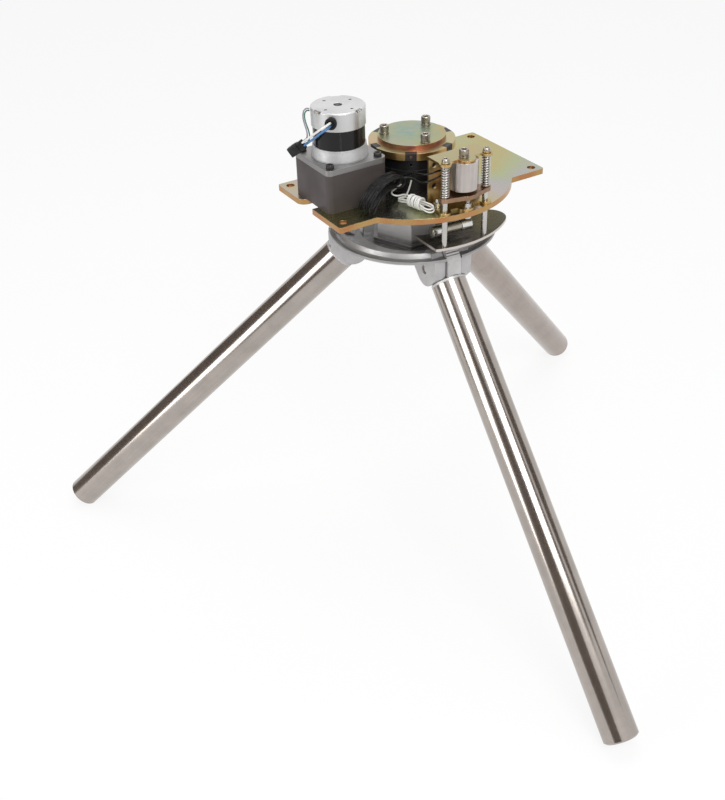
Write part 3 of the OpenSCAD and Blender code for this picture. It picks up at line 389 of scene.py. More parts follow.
# Centre and radius of the bluish smudge on the top disc, and its colour
DISC_SMUDGE = ((0.004, 0.004, 0.049), 0.034, (0.21, 0.33, 0.30))
ARM_AXES = {"a": (-0.0592, -0.7046, -0.7071), "b": (0.6398, 0.3011, -0.7071), "c": (-0.5806, 0.4036, -0.7071)}
# tube b's steel is darker than a's and c's: painted shade standing in for its darker reflections
TUBE_STEEL = {"a": (0.45, 0.405, 0.37), "b": (0.40, 0.34, 0.305), "c": (0.45, 0.405, 0.37)}

LOOKS = {
    "plate": passivated("yellow_steel_plate", 7.0, PLATE_FILM, COPPER_EDGE, (0.0, 0.0, 0.0), 0.26),
    "ring": passivated("yellow_steel_ring", 14.0, GOLD_FILM, GOLD_EDGE, (0.3, 0.1, 0.2), 0.34),
    "disc": passivated("yellow_steel_disc", 15.0, DISC_FILM, ROSE_EDGE, (0.7, 0.4, 0.1), 0.36, DISC_SMUDGE),
    "bracket": passivated("yellow_steel_bracket", 22.0, BRACKET_FILM, GOLD_EDGE, (0.2, 0.8, 0.5), 0.30),
    "bright_steel": steel("bright_steel", (0.60, 0.58, 0.55), 0.24),
    "dull_steel": steel("dull_steel", (0.40, 0.36, 0.31), 0.32),
    "lever_steel": steel("lever_steel", (0.45, 0.42, 0.35), 0.30),
    # the crescent's dark colour is a painted reflection of the plate's dark underside; its upright faces take
    # the paler side colour
    "crescent_steel": steel(
        "crescent_steel", (0.24, 0.22, 0.20), 0.30, (1.0, 14.0, 1.0), 90.0, 0.35, side=(0.62, 0.57, 0.52),
    ),
    "armature_steel": steel("armature_steel", (0.40, 0.25, 0.16), 0.34, stain=0.45),
    "roller_steel": steel("roller_steel", (0.78, 0.77, 0.75), 0.20),
    "spring_steel": steel("spring_steel", (0.62, 0.60, 0.57), 0.20),
    "magnet_shell": steel("magnet_shell", (0.60, 0.55, 0.52), 0.32, (1.0, 1.0, 0.04), 230.0, 0.15, tone=0.40),
    # its sharp edges are darkened as painted shade at the seams
    "cast_alloy": casting("cast_alloy", (0.62, 0.61, 0.605), 0.42, seams=True),
    # the hub's 0.85 sets how dark its dish is painted, as shade under the plate
    "hub_alloy": casting("hub_alloy", (0.54, 0.53, 0.53), 0.40, 0.85),
    "adapter_alloy": casting("adapter_alloy", (0.62, 0.62, 0.63), 0.52),
    "motor_alloy": alloy("motor_alloy", (0.64, 0.64, 0.64), 0.34, 800.0),
    "cover_alloy": alloy("cover_alloy", (0.31, 0.305, 0.30), 0.42, 1600.0),
    "gearbox_paint": paint("gearbox_paint", (0.074, 0.060, 0.059), 0.44, 0.9),
    "black_metal": paint("black_metal", (0.010, 0.010, 0.011), 0.36, 0.15),
    "stator_black": paint("stator_black", (0.008, 0.007, 0.007), 0.18, 0.0),
    "block_black": paint("block_black", (0.024, 0.019, 0.017), 0.38, 0.2),
    "black_rubber": plastic("black_rubber", (0.010, 0.010, 0.010), 0.60, 900.0),
    "black_plastic": plastic("black_plastic", (0.008, 0.008, 0.009), 0.30),
    "black_insulation": plastic("black_insulation", (0.004, 0.004, 0.004), 0.25),
    "white_insulation": plastic("white_insulation", (0.80, 0.79, 0.76), 0.30),
    "blue_insulation": plastic("blue_insulation", (0.07, 0.20, 0.42), 0.34),
    "grey_insulation": plastic("grey_insulation", (0.26, 0.22, 0.28), 0.38),
    "green_insulation": plastic("green_insulation", (0.04, 0.17, 0.12), 0.38),
}
for arm, axis in ARM_AXES.items():
    LOOKS["tube_" + arm] = steel(
        "stainless_tube_" + arm, TUBE_STEEL[arm], 0.17, streak_scale=420.0, stain=0.16, axis=axis, tone=0.12,
    )

# Looks of the CAD nodes whose material slot isn't the look's name
NODE_LOOKS = {
    "plate": "plate", "bracket": "bracket", "slot_ring": "ring", "top_disc": "disc",
    "gearbox_cover": "cover_alloy", "motor_stator": "stator_black", "slot_blocks": "block_black",
    "motor_adapter": "adapter_alloy", "hub_casting": "hub_alloy",
}
for arm in ARM_AXES:
    NODE_LOOKS["arm_tube_" + arm] = NODE_LOOKS["arm_cap_" + arm] = "tube_" + arm
    NODE_LOOKS["lock_rollers_" + arm] = "roller_steel"

slot_of = {part["node"]: part["material_slot"] for part in frame["record"]["subparts"]}
for name, obj in NODES.items():
    obj.data.materials.clear()
    obj.data.materials.append(LOOKS[NODE_LOOKS.get(name, slot_of[name])])


# Shapes

def through(points, steps):
    """A smooth line through points, with steps from each to the next; uneven gaps don't sharpen its bends."""
    pts = [Vector(p) for p in points]
    pts = [2 * pts[0] - pts[1], *pts, 2 * pts[-1] - pts[-2]]
    line = []
    for a, b, c, d in zip(pts, pts[1:], pts[2:], pts[3:]):
        before, here, after = (b - a).length, (c - b).length, (d - c).length
        leaves = (b - a) * (here / before) - (c - a) * (here / (before + here)) + (c - b)
        arrives = (c - b) - (d - b) * (here / (here + after)) + (d - c) * (here / after)
        for k in range(steps):
            t = k / steps
            line.append(
                (2 * t**3 - 3 * t**2 + 1) * b + (t**3 - 2 * t**2 + t) * leaves
                + (3 * t**2 - 2 * t**3) * c + (t**3 - t**2) * arrives
            )
    return [*line, pts[-2]]


def shown(obj, look, body, slot, *replaced):
    """Puts a new piece into the scene: its look, the body it rides on, and what it stands for; slot is not
    used.
    """
    SCENE.collection.objects.link(obj)
    obj.data.materials.append(LOOKS[look])
    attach(obj, body)
    if replaced:
        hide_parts(*replaced)
    return obj


def wire(name, line, diameter, look, slot, *replaced):
    """A round wire along a line, in millimetres."""
    data = bpy.data.curves.new(name, "CURVE")
    data.dimensions = "3D"
    data.bevel_depth = diameter / 2 * MM
    data.bevel_resolution = 3
    data.use_fill_caps = True
    spline = data.splines.new("POLY")
    spline.points.add(len(line) - 1)
    for point, p in zip(spline.points, line):
        point.co = (*(p * MM), 1)
    spline.use_smooth = True
    return shown(bpy.data.objects.new(name, data), look, "frame", slot, *replaced)


KNURL_DEPTH, NUT_CORNER = 0.11, 1.10
CENTRE = 0.05  # radius of the small face that closes a turned shape in its middle


class Solid:
    """Gathers turned and lofted shapes, in millimetres, into one mesh."""

    def __init__(self):
        self.verts = []
        self.faces = []

    def rings(self, rings, place=Matrix(), closed=False):
        """Joins rings of points, all as long as the first, and closes both ends."""
        start = len(self.verts)
        count = len(rings[0])
        self.verts += [place @ Vector(p) for ring in rings for p in ring]
        for i in range(len(rings) - 1):
            for k in range(count):
                a = start + i * count + k
                b = start + i * count + (k + 1) % count
                self.faces.append((a, b, b + count, a + count))
        end = start + (len(rings) - 1) * count
        if closed:
            for k in range(count):
                a, b = end + k, end + (k + 1) % count
                self.faces.append((a, b, start + (k + 1) % count, start + k))
        else:
            self.faces.append(tuple(range(start, start + count))[::-1])
            self.faces.append(tuple(range(end, end + count)))

    def turned(self, profile, sides, place=Matrix(), closed=False):
        """Turns a profile of (radius, height, kind) round Z; kind is round, knurl, hex or nut."""
        self.rings([[self.at(j, sides, *p) for j in range(sides)] for p in profile], place, closed)

    @staticmethod
    def at(j, sides, radius, height, kind="round"):
        a = 2 * math.pi * j / sides
        if kind == "knurl":
            radius += KNURL_DEPTH if j % 2 else -KNURL_DEPTH
        if kind in ("hex", "nut"):
            six = math.pi / 3
            flat = radius / math.cos((a + six / 2) % six - six / 2)
            radius = flat if kind == "hex" else min(flat, radius * NUT_CORNER)
        return (radius * math.cos(a), radius * math.sin(a), height)

    def piece(self, name, look, body, slot, *replaced, sharp=0.6):
        """Makes the mesh; edges that turn by more than sharp, in radians, stay sharp."""
        mesh = bpy.data.meshes.new(name)
        mesh.from_pydata([v * MM for v in self.verts], [], self.faces)
        mesh.validate()
        made = bmesh.new()
        made.from_mesh(mesh)
        bmesh.ops.recalc_face_normals(made, faces=made.faces)
        for face in made.faces:
            face.smooth = True
        for edge in made.edges:
            edge.smooth = len(edge.link_faces) == 2 and edge.calc_face_angle(0) < sharp
        made.to_mesh(mesh)
        made.free()
        return shown(bpy.data.objects.new(name, mesh), look, body, slot, *replaced)


WIRE_SIDES, ROUND_WIRE = 10, 1.2


def swept(line, diameter, sides, start):
    """Rings of a round tube along a line, carried along without twist."""
    normal = Vector(start)
    rings = []
    for i, p in enumerate(line):
        t = (line[min(i + 1, len(line) - 1)] - line[max(i - 1, 0)]).normalized()
        normal = (normal - normal.dot(t) * t).normalized()
        side = t.cross(normal)
        angles = [2 * math.pi * k / sides for k in range(sides)]
        rings.append([p + diameter / 2 * (math.cos(a) * normal + math.sin(a) * side) for a in angles])
    return rings


# Cords: the routes, in millimetres, are those of the part's source, apart from the folds of the black hank
# and the first points of magnet lead b, which lie a little off it so that no bend is too sharp

WHITE_LEAD = [
    (-109.3, -20.3, 89.7), (-113.6, -23.2, 89.8), (-118.1, -23.4, 88.3), (-121.2, -18.5, 84.2),
    (-122.1, -11, 78.9), (-122, -3.1, 73.7), (-122, 4.3, 68.8), (-122, 11.2, 64.2), (-123.3, 13.6, 62.1),
]
BLUE_LEAD = [
    (-109.3, -20.3, 86.6), (-113.7, -23.5, 86.6), (-118, -23.4, 84.8), (-120.7, -18.3, 80.4),
    (-121.3, -10.9, 75), (-121.3, -3.6, 70.2), (-121.2, 3.3, 65.6), (-120.8, 9.7, 61.6), (-122, 12.1, 59.3),
]
SENSOR_LEAD_A = [
    (-110.7, 18, 93.5), (-113.3, 19.5, 93.8), (-115.8, 20, 92.3), (-117.3, 19.8, 89), (-117.9, 19, 84.5),
    (-117.9, 16.9, 79.8), (-118, 13.9, 75.5), (-118.3, 11.7, 71), (-118.6, 12.1, 67), (-119.5, 14.2, 64.4),
    (-121, 16.2, 62.7),
]
SENSOR_LEAD_B = [
    (-109.2, 20.6, 90.5), (-111.6, 22, 90.6), (-113.6, 22.3, 88.9), (-114.6, 22, 85.4), (-114.8, 20.6, 81),
    (-114.9, 17.6, 76.8), (-115.4, 13.7, 73), (-116.2, 10.7, 69.2), (-116.7, 10.6, 65.3),
    (-117.8, 12.7, 61.9), (-119.7, 14.8, 59.9),
]
MAGNET_LEAD_A = [
    (-42.5, -33.6, 19.1), (-38.6, -34.1, 19.6), (-35.9, -37.3, 21.5), (-35, -42.5, 25), (-34.6, -49.5, 29),
    (-34.6, -58, 32.3), (-34.8, -66.5, 34.6), (-34, -74.5, 36.5), (-30, -79.5, 38.5), (-22.5, -81.8, 40.3),
    (-13.5, -86.3, 41.5),
]
MAGNET_LEAD_B = [
    (-41.2, -51.2, 27), (-38.6, -53.3, 27), (-36.2, -58.9, 26.9), (-36.7, -64.5, 27), (-35.9, -71, 27.6),
    (-34.2, -77.3, 29.6), (-29.5, -81.8, 32.5), (-22.5, -84.2, 35.3), (-14.3, -88.5, 37.5),
]
WIRE_END_A = [
    (-52, -46.2, 8.4), (-53, -42.8, 9.2), (-50.8, -39.4, 9.6), (-46.2, -36.4, 9.6), (-41, -33, 9.1),
    (-36, -29.6, 8.5), (-31.3, -26.5, 8),
]
WIRE_END_B = [(-39.5, -45.1, 2.6), (-36.4, -44.8, 5), (-34, -44.8, 9), (-32, -44.7, 14), (-30.2, -44.5, 19)]
LEAD_D, SENSOR_D, CABLE_D, WIRE_D = 2.4, 1.4, 1.8, 1.7
LEAD_STEPS, HANK_LINE_STEPS, WRAP_STEPS = 6, 4, 2
PLATE_GAP = 0.3
FOLD_STEPS, RUN_STEPS = 8, 4
HANK_STEPS = 2 * (FOLD_STEPS + RUN_STEPS)
# Degrees by which the loops' lengths and arches drift with each step, and where the arches' drift starts
LENGTH_DRIFT, ARCH_DRIFT, ARCH_START = 5.4, 4.1, 40
WIRE_R, WIRE_LOOPS, WIRE_END_R, WIRE_PINCH, WIRE_SAG, WIRE_PITCH = 23, 2, 4.6, 2.6, 2.2, WIRE_D + 0.5
WIRE_LOOSE = 0.5
WRAP_TURNS, WRAP_PITCH = 7, WIRE_D + 0.8
WRAP_TURN_STEPS, WRAP_GAP = 24, 0.3
WRAP_SHIFT, WRAP_SHIFT_BEAT, WRAP_SWELL, WRAP_SWELL_BEAT = 0.35, 31, 0.25, 9
WRAP_R = math.hypot(WIRE_END_R - 0.7 * WIRE_PINCH, WIRE_LOOPS * WIRE_PITCH / 2 + 0.2) + WIRE_D + WRAP_GAP
WIRE_AT = Vector((-41, -69, WIRE_D / 2 + PLATE_GAP + WRAP_R))
WIRE_TURN = math.radians(103)
CABLE_R, CABLE_LOOPS, CABLE_END_R, CABLE_PITCH, CABLE_ARCH = 29, 7, 5.5, CABLE_D + 0.6, 12
CABLE_PINCH, CABLE_LOOSE, CABLE_LEAN = 0.6, 1.8, 0.7
CABLE_AT = Vector((-68, -57, 0))
CABLE_TURN, CABLE_TILT = math.radians(14), math.radians(18)


def hank_point(step, long_r, end_r, pinch):
    """A point of a hank's loop, counted in steps: round ends, and runs pinched in the middle."""
    side = 1 if step < HANK_STEPS / 2 else -1
    k = step % (HANK_STEPS // 2)
    straight = long_r - end_r
    if k < FOLD_STEPS:
        a = math.radians(180 / FOLD_STEPS * k - 90)
        return side * (straight + end_r * math.cos(a)), side * end_r * math.sin(a)
    t = (k - FOLD_STEPS) / RUN_STEPS
    return side * straight * (1 - 2 * t), side * (end_r - pinch * math.sin(math.pi * t) ** 2)


def hank_points(steps, long_r, end_r, pinch, pitch, sag, loose, lean=0.0):
    """Loops of a hank, a pitch apart; loose makes some shorter and flatter than others.

    lean turns the ends with the arch of the hank, so that their folds stay round.
    """
    points = []
    for i in steps:
        r = long_r - loose * (1 - math.sin(math.radians(LENGTH_DRIFT * i)))
        x, y = hank_point(i % HANK_STEPS, r, end_r, pinch)
        arch = sag + loose * math.sin(math.radians(ARCH_DRIFT * i + ARCH_START))
        drop = -arch * (x / long_r) ** 2
        middle = max(end_r - r, min(r - end_r, x))
        slope = math.atan(-2 * arch * middle / long_r**2)
        across = middle + (x - middle) * math.cos(slope) - y * math.sin(slope)
        down = -arch * (middle / long_r) ** 2 + (x - middle) * math.sin(slope) + y * (math.cos(slope) - 1)
        points.append((x + lean * (across - x), y, pitch * i / HANK_STEPS, drop + lean * (down - drop)))
    return points


def placed(points, tilt, turn, at):
    spin = Matrix.Rotation(turn, 3, "Z") @ Matrix.Rotation(-tilt, 3, "Y")
    return [at + spin @ Vector(p) for p in points]


def white_hank():
    first = FOLD_STEPS // 2
    steps = range(first, HANK_STEPS * WIRE_LOOPS + first + 1)
    points = hank_points(steps, WIRE_R, WIRE_END_R, WIRE_PINCH, WIRE_PITCH, WIRE_SAG, WIRE_LOOSE)
    low = Vector((0, 0, (WIRE_LOOPS / 2 + first / HANK_STEPS) * WIRE_PITCH))
    return placed([(x, y, up + drop) for x, y, up, drop in points], 0, WIRE_TURN, WIRE_AT - low)


def black_hank():
    steps = range(FOLD_STEPS, HANK_STEPS * CABLE_LOOPS + 1)
    points = hank_points(
        steps, CABLE_R, CABLE_END_R, CABLE_PINCH, CABLE_PITCH, CABLE_ARCH, CABLE_LOOSE, CABLE_LEAN,
    )
    line = placed([(x, up, y + drop) for x, y, up, drop in points], CABLE_TILT, CABLE_TURN, CABLE_AT)
    lift = CABLE_D / 2 + PLATE_GAP - min(p.z for p in line)
    return [p + Vector((0, 0, lift)) for p in line]


def cord(name, points, steps, diameter, look, nodes):
    """A cord through points; its exit is the first of them."""
    line = through(points, steps)
    made = wire(name, line, diameter, look, look, *nodes)


def rounded(x, w, h, r):
    """A ring at x: a rectangle w wide and h high, with corners rounded by r."""
    corners = [(w / 2 - r, h / 2 - r), (r - w / 2, h / 2 - r), (r - w / 2, r - h / 2), (w / 2 - r, r - h / 2)]
    ring = []
    for q, (y, z) in enumerate(corners):
        for k in range(5):
            a = math.pi / 2 * (q + k / 4)
            ring.append((x, y + r * math.cos(a), z + r * math.sin(a)))
    return ring


PLUG_L, PLUG_W, PLUG_H = 18.0, 7.5, 10.5
PLUG_WALL, PLUG_MOUTH = 1.2, 6
PLUG_AT, PLUG_TURN, PLUG_TILT = (-121.6, 14.1, 60.3), math.radians(132), math.radians(35)
PLUG_OUTLINE = (
    (0, 1.4), (0.5, 0.4), (4, 0.4), (4.4, 1.3), (6, 1.3), (6.4, 0), (PLUG_L - 0.4, 0), (PLUG_L, 0.5),
)
CONTACT_D, CONTACT_PITCH = 0.9, 2.8
LATCH = ((7.2, 3.6, 0.4), (7.8, 3.6, 1.6), (12, 3.6, 1.6), (15.5, 3.6, 0.4))


def lead_plug():
    """The connector on the motor's leads: a ribbed shell with a latch, and contacts in its mouth."""
    place = (
        Matrix.Translation(PLUG_AT) @ Matrix.Rotation(PLUG_TURN, 4, "Z") @ Matrix.Rotation(PLUG_TILT, 4, "Y")
    )
    shell = Solid()
    rings = [rounded(x, PLUG_W - cut, PLUG_H - cut, 0.9) for x, cut in PLUG_OUTLINE]
    for x in (PLUG_L, PLUG_L - PLUG_MOUTH):
        rings.append(rounded(x, PLUG_W - 2 * PLUG_WALL, PLUG_H - 2 * PLUG_WALL, 0.5))
    shell.rings(rings, place)
    contact = [rounded(x, CONTACT_D, CONTACT_D, 0.2) for x in (PLUG_L - 6.1, PLUG_L - 1.6)]
    for k in (-1, 0, 1):
        shell.rings(contact, place @ Matrix.Translation((0, 0, k * CONTACT_PITCH)))
    latch = [rounded(x, w, h, 0.3) for x, w, h in LATCH]
    shell.rings(latch, place @ Matrix.Translation((0, 0, PLUG_H / 2 - 0.35)))
    return shell.piece("lead_plug_shell", "black_plastic", "frame", "black_plastic", "lead_plug")


def wire_tie():
    """The turns of wire round the middle of the white hank, a little uneven."""
    turns = []
    for i in range(WRAP_TURN_STEPS * WRAP_TURNS + 1):
        along = WRAP_PITCH * (i / WRAP_TURN_STEPS - WRAP_TURNS / 2)
        along += WRAP_SHIFT * math.sin(math.pi * i / WRAP_SHIFT_BEAT)
        r = WRAP_R + WRAP_SWELL * math.sin(i / WRAP_SWELL_BEAT)
        a = 2 * math.pi * i / WRAP_TURN_STEPS
        turns.append((along, r * math.sin(a), -r * math.cos(a)))
    wrap = Solid()
    line = through(placed(turns, 0, WIRE_TURN, WIRE_AT), WRAP_STEPS)
    wrap.rings(swept(line, WIRE_D, WIRE_SIDES, (0, 0, 1)))
    return wrap.piece(
        "white_wire_tie", "white_insulation", "frame", "white_insulation", "wire_wrap", sharp=ROUND_WIRE,
    )


plug = lead_plug()
for name, points, diameter, colour, node in (
    ("white_lead_wire", WHITE_LEAD, LEAD_D, "white", "white_lead"),
    ("blue_lead_wire", BLUE_LEAD, LEAD_D, "blue", "blue_lead"),
    ("sensor_lead_wire_a", SENSOR_LEAD_A, SENSOR_D, "grey", "sensor_lead_a"),
    ("sensor_lead_wire_b", SENSOR_LEAD_B, SENSOR_D, "green", "sensor_lead_b"),
):
    cord(name, points, LEAD_STEPS, diameter, colour + "_insulation", [node])
cord(
    "magnet_cable", [*MAGNET_LEAD_B[::-1], *black_hank(), *MAGNET_LEAD_A], HANK_LINE_STEPS, CABLE_D,
    "black_insulation", ["magnet_lead_b", "cable_hank", "magnet_lead_a"],
)
tie = wire_tie()
cord(
    "white_wire", [*WIRE_END_A[::-1], *white_hank()[::-1], *WIRE_END_B], HANK_LINE_STEPS, WIRE_D,
    "white_insulation", ["wire_end_a", "wire_hank", "wire_end_b"],
)


# Springs, made at one length; on the real part they shorten as the release lifts

SPRING_LOW, SPRING_HIGH = 17.9, 51.7
SPRING_D, SPRING_WIRE, SPRING_TURNS = 8.2, 1.2, 11
SPRING_SEAT, SPRING_CLOSED, SPRING_STEPS = 0.05, 1.03, 28
ROD_XS, ROD_Y = (-25.0, 25.0), -97.0


def spring_line(x):
    """Wire of a compression spring whose first and last turns lie closed."""
    low, high = SPRING_LOW + SPRING_WIRE / 2 + SPRING_SEAT, SPRING_HIGH - SPRING_WIRE / 2 - SPRING_SEAT
    closed = SPRING_WIRE * SPRING_CLOSED
    pitch = (high - low - 2 * closed) / SPRING_TURNS
    line = []
    for i in range(SPRING_STEPS * (SPRING_TURNS + 2) + 1):
        turn = i / SPRING_STEPS
        lift = min(turn, 1) * closed + min(max(turn - 1, 0), SPRING_TURNS) * pitch
        lift += max(turn - SPRING_TURNS - 1, 0) * closed
        a = 2 * math.pi * turn
        line.append(Vector((x + SPRING_D / 2 * math.cos(a), ROD_Y + SPRING_D / 2 * math.sin(a), low + lift)))
    return line


for side, x in zip(("left", "right"), ROD_XS):
    coil = Solid()
    coil.rings(swept(spring_line(x), SPRING_WIRE, WIRE_SIDES, (1, 0, 0)))
    made = coil.piece(
        "coil_spring_" + side, "spring_steel", "frame", "spring_steel", "spring_" + side, sharp=ROUND_WIRE,
    )
    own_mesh(made)


# Screws and nuts in place of the plain ones

ARM_TURNS = [math.radians(a) for a in (-94.8, 25.2, 145.2)]
DISC_SCREW_R, DISC_TOP = 29, 49
MAGNET_SCREW_AT = (0, -93, 54.2)
COVER_XS, COVER_YS, COVER_TOP = (-115, -59), (-26, 30), 46.2
FOOT_BOLTS, THREAD_PITCH = ((0, -101), (-24, -83), (24, -83)), 0.8
ROD_TOP = 54.4
CAP_AT, CAP_SCREW_R = (-87, 2, 95), 26
CAP_SCREW_TURNS = [math.radians(a) for a in (65, 190, 290)]
BLOCK_SCREW_AT = (42.5, 0, 40.25)
BLOCK_TURNS = [ARM_TURNS[0] + math.radians(30 + 60 * k) for k in range(6)]
HEAD_SIDES, WASHER_SIDES, BOLT_SIDES, ROD_SIDES, SMALL_SIDES = 72, 48, 40, 56, 36
SPLIT_FROM, SPLIT_STEPS, SPLIT_RISE = 1.2, 40, 0.25


def socket_head(solid, at, d, washer, shank, h):
    """Knurled socket-head screw on a washer, and on a split ring too where the washers are tall enough.

    d is the thread, washer the washers' height, shank the length below at, and h the height of the head.
    """
    place = Matrix.Translation(at)
    r = 0.8 * d
    z = washer
    solid.turned(
        [
            (d / 2, -shank), (d / 2, z), (r - 0.35, z), (r, z + 0.35), (r, z + 0.7), (r, z + 0.75, "knurl"),
            (r, z + h - 0.75, "knurl"), (r, z + h - 0.7), (r - 0.45, z + h), (0.50 * d, z + h),
            (0.42 * d, z + h - 0.25, "hex"), (0.42 * d, z + h / 2, "hex"), (CENTRE, z + h / 2 - 0.4),
        ],
        HEAD_SIDES, place,
    )
    flat, inner, rim = min(0.45 * washer, 1.2), d / 2 + 0.05, 0.875 * d
    solid.turned(
        [(inner, 0), (rim - 0.15, 0), (rim, 0.15), (rim, flat - 0.15), (rim - 0.15, flat), (inner, flat)],
        WASHER_SIDES, place, closed=True,
    )
    if washer > SPLIT_FROM:
        split = []
        for k in range(SPLIT_STEPS + 1):
            a = 2 * math.pi * (k / SPLIT_STEPS * 0.97) + 0.6
            low = flat + 0.02 + SPLIT_RISE * k / SPLIT_STEPS
            high = washer - 0.02 - SPLIT_RISE * (1 - k / SPLIT_STEPS)
            corners = ((inner, low), (0.80 * d, low), (0.80 * d, high), (inner, high))
            split.append([(out * math.cos(a), out * math.sin(a), up) for out, up in corners])
        solid.rings(split, place)


disc_set = Solid()
for a in ARM_TURNS:
    at = (DISC_SCREW_R * math.cos(a), DISC_SCREW_R * math.sin(a), DISC_TOP)
    socket_head(disc_set, at, d=6, washer=2.8, shank=11.5, h=6)
disc_set.piece("disc_screw_set", "dull_steel", "hub", "dull_steel", "disc_screws")

magnet_bolt = Solid()
socket_head(magnet_bolt, MAGNET_SCREW_AT, d=6, washer=1.6, shank=12.5, h=6)
magnet_bolt.piece("magnet_bolt", "dull_steel", "frame", "dull_steel", "magnet_screw")

cover_set = Solid()
for x in COVER_XS:
    for y in COVER_YS:
        socket_head(cover_set, (x, y, COVER_TOP), d=5, washer=0.8, shank=13.7, h=3.2)
cover_set.piece("cover_screw_set", "block_black", "frame", "black_metal", "cover_screws")

foot_set = Solid()
thread = [p for k in range(5) for p in ((2.5, 7.0 + THREAD_PITCH * k), (2.15, 7.4 + THREAD_PITCH * k))]
for x, y in FOOT_BOLTS:
    place = Matrix.Translation((x, y, 0))
    foot_set.turned(
        [
            (3.2, -9.4), (4.0, -9.1), (4.25, -8.4), (4.25, -6.0), (2.5, -6.0),
            *thread, (2.0, 11.0), (CENTRE, 11.0),
        ],
        BOLT_SIDES, place,
    )
    foot_set.turned([(2.55, 2.5), (4.5, 2.5), (4.5, 3.3), (2.55, 3.3)], WASHER_SIDES, place, closed=True)
    foot_set.turned(
        [(2.55, 3.3), (3.6, 3.3), (3.9, 3.6, "nut"), (3.9, 7.1, "nut"), (3.6, 7.4), (2.55, 7.4)],
        WASHER_SIDES, place, closed=True,
    )
foot_set.piece("foot_bolt_set", "bright_steel", "frame", "bright_steel", "bracket_bolts")

head_set = Solid()
seat_set = Solid()
for x in ROD_XS:
    place = Matrix.Translation((x, ROD_Y, ROD_TOP))
    seat_set.turned(
        [(CENTRE, 0), (4.3, 0), (4.5, 0.2), (4.5, 1.0), (4.3, 1.2), (CENTRE, 1.2)], ROD_SIDES, place,
    )
    head_set.turned(
        [
            (CENTRE, 1.2), (3.9, 1.2), (3.9, 2.0), (3.6, 3.2), (2.9, 4.2), (2.2, 4.6), (2.0, 4.6),
            (1.75, 4.4, "hex"), (1.75, 2.9, "hex"), (CENTRE, 2.7),
        ],
        ROD_SIDES, place,
    )
head_set.piece("rod_head_set", "dull_steel", "release", "bright_steel", "rod_heads")
seat_set.piece("rod_washer_set", "ring", "release", "bright_steel")

cap_set = Solid()
x, y, z = CAP_AT
for a in CAP_SCREW_TURNS:
    cap_set.turned(
        [
            (CENTRE, 0), (1.3, 0), (1.3, 0.6), (1.1, 1.0), (0.8, 1.1),
            (0.6, 1.0, "hex"), (0.6, 0.5, "hex"), (CENTRE, 0.4),
        ],
        SMALL_SIDES, Matrix.Translation((x + CAP_SCREW_R * math.cos(a), y + CAP_SCREW_R * math.sin(a), z)),
    )
cap_set.piece("cap_screw_set", "dull_steel", "frame", "bright_steel")

block_set = Solid()
outwards = Matrix.Rotation(math.pi / 2, 4, "Y")
for a in BLOCK_TURNS:
    place = Matrix.Rotation(a, 4, "Z") @ Matrix.Translation(BLOCK_SCREW_AT) @ outwards
    block_set.turned(
        [
            (CENTRE, 0), (1.4, 0), (1.4, 2.2), (1.15, 2.5), (0.85, 2.5),
            (0.75, 2.3, "hex"), (0.75, 1.2, "hex"), (CENTRE, 1.1),
        ],
        SMALL_SIDES, place,
    )
block_set.piece("block_screw_set", "armature_steel", "hub", "bright_steel")


# Stage: floor, light, and the dark walls that polished metal reflects

FLOOR_Z, FLOOR_GAP, FLOOR_HALF = cad_box[0].z, 0.0005, 9.0
FLOOR_GLOW = 0.85
WORLD_LIGHT, WORLD_SEEN = 0.5, 1.0
WALL_R, WALL_STEPS = 2.2, 12


def plain(name, colour, roughness):
    """A material of one colour."""
    material = bpy.data.materials.new(name)
    material.use_nodes = True
    bsdf = material.node_tree.nodes["Principled BSDF"]
    bsdf.inputs["Base Color"].default_value = (*colour, 1)
    bsdf.inputs["Roughness"].default_value = roughness
    return material


def staged(name, points, faces, material):
    """A mesh that belongs to the stage and not to the object."""
    mesh = bpy.data.meshes.new(name)
    mesh.from_pydata(points, [], faces)
    mesh.materials.append(material)
    obj = bpy.data.objects.new(name, mesh)
    SCENE.collection.objects.link(obj)
    return obj


def white_to(tree):
    """1 for the rays that should meet a white background: from the camera, from gloss and through glass."""
    path = tree.nodes.new("ShaderNodeLightPath")
    seen = path.outputs["Is Camera Ray"]
    for kind in ("Is Glossy Ray", "Is Transmission Ray"):
        either = tree.nodes.new("ShaderNodeMath")
        either.operation = "MAXIMUM"
        tree.links.new(seen, either.inputs[0])
        tree.links.new(path.outputs[kind], either.inputs[1])
        seen = either.outputs[0]
    return seen


def stage_floor():
    material = plain("floor_white", (0.9, 0.9, 0.9), 0.8)
    tree = material.node_tree
    share = tree.nodes.new("ShaderNodeMath")
    share.operation = "MULTIPLY"
    tree.links.new(white_to(tree), share.inputs[0])
    share.inputs[1].default_value = FLOOR_GLOW
    glow = tree.nodes.new("ShaderNodeEmission")
    glow.inputs["Strength"].default_value = 1.0
    blend = tree.nodes.new("ShaderNodeMixShader")
    tree.links.new(share.outputs[0], blend.inputs[0])
    tree.links.new(tree.nodes["Principled BSDF"].outputs[0], blend.inputs[1])
    tree.links.new(glow.outputs[0], blend.inputs[2])
    tree.links.new(blend.outputs[0], tree.nodes["Material Output"].inputs[0])
    r, z = FLOOR_HALF, FLOOR_Z - FLOOR_GAP
    floor = staged("floor", [(-r, -r, z), (r, -r, z), (r, r, z), (-r, r, z)], [(0, 1, 2, 3)], material)


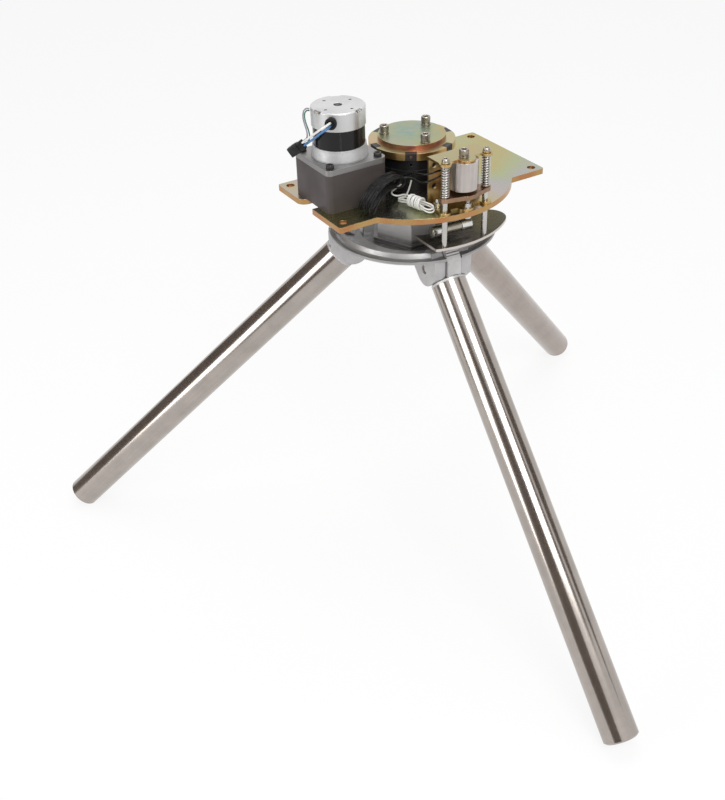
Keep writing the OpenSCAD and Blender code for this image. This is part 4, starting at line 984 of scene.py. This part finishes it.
def world_light():
    world = bpy.data.worlds.new("world")
    SCENE.world = world
    world.use_nodes = True
    tree = world.node_tree
    back = tree.nodes["Background"]
    back.inputs["Color"].default_value = (1, 1, 1, 1)
    level = tree.nodes.new("ShaderNodeMapRange")
    tree.links.new(white_to(tree), level.inputs["Value"])
    level.inputs["To Min"].default_value = WORLD_LIGHT
    level.inputs["To Max"].default_value = WORLD_SEEN
    tree.links.new(level.outputs[0], back.inputs["Strength"])


def lamp(name, at, towards, size, power):
    data = bpy.data.lights.new(name, "AREA")
    data.shape = "RECTANGLE"
    data.size, data.size_y = size
    data.energy = power
    obj = bpy.data.objects.new(name, data)
    SCENE.collection.objects.link(obj)
    obj.location = at
    obj.rotation_euler = (Vector(towards) - Vector(at)).to_track_quat("-Z", "Y").to_euler()


def wall(name, turn, height, material):
    """A dark studio wall outside the picture, between two bearings and two heights."""
    points = []
    for k in range(WALL_STEPS + 1):
        a = math.radians(turn[0] + (turn[1] - turn[0]) * k / WALL_STEPS)
        points += [(WALL_R * math.cos(a), WALL_R * math.sin(a), z) for z in height]
    faces = [(2 * k, 2 * k + 2, 2 * k + 3, 2 * k + 1) for k in range(WALL_STEPS)]
    obj = staged(name, points, faces, material)
    obj.visible_camera = False
    obj.visible_shadow = False
    obj.visible_diffuse = False


stage_floor()
world_light()
lamp("key", at=(-0.42, -1.60, 1.52), towards=(0, 0, -0.1), size=(1.1, 1.1), power=24)
lamp("left", at=(-2.2, 0.02, 0.36), towards=(0, 0, -0.1), size=(0.85, 1.3), power=14)
lamp("top", at=(0.2, 0.3, 1.8), towards=(0, 0, 0), size=(1.4, 1.4), power=15)
wall_dark = plain("wall_dark", (0.20, 0.17, 0.15), 1.0)
wall("wall_back_left", (103, 166), (FLOOR_Z, 1.0), wall_dark)
wall("wall_front_left", (-166, -122), (FLOOR_Z, 1.6), wall_dark)
wall("wall_front", (-82, -69), (0.9, 2.5), wall_dark)
wall("wall_front_right", (-56, -26), (0.3, 2.0), wall_dark)
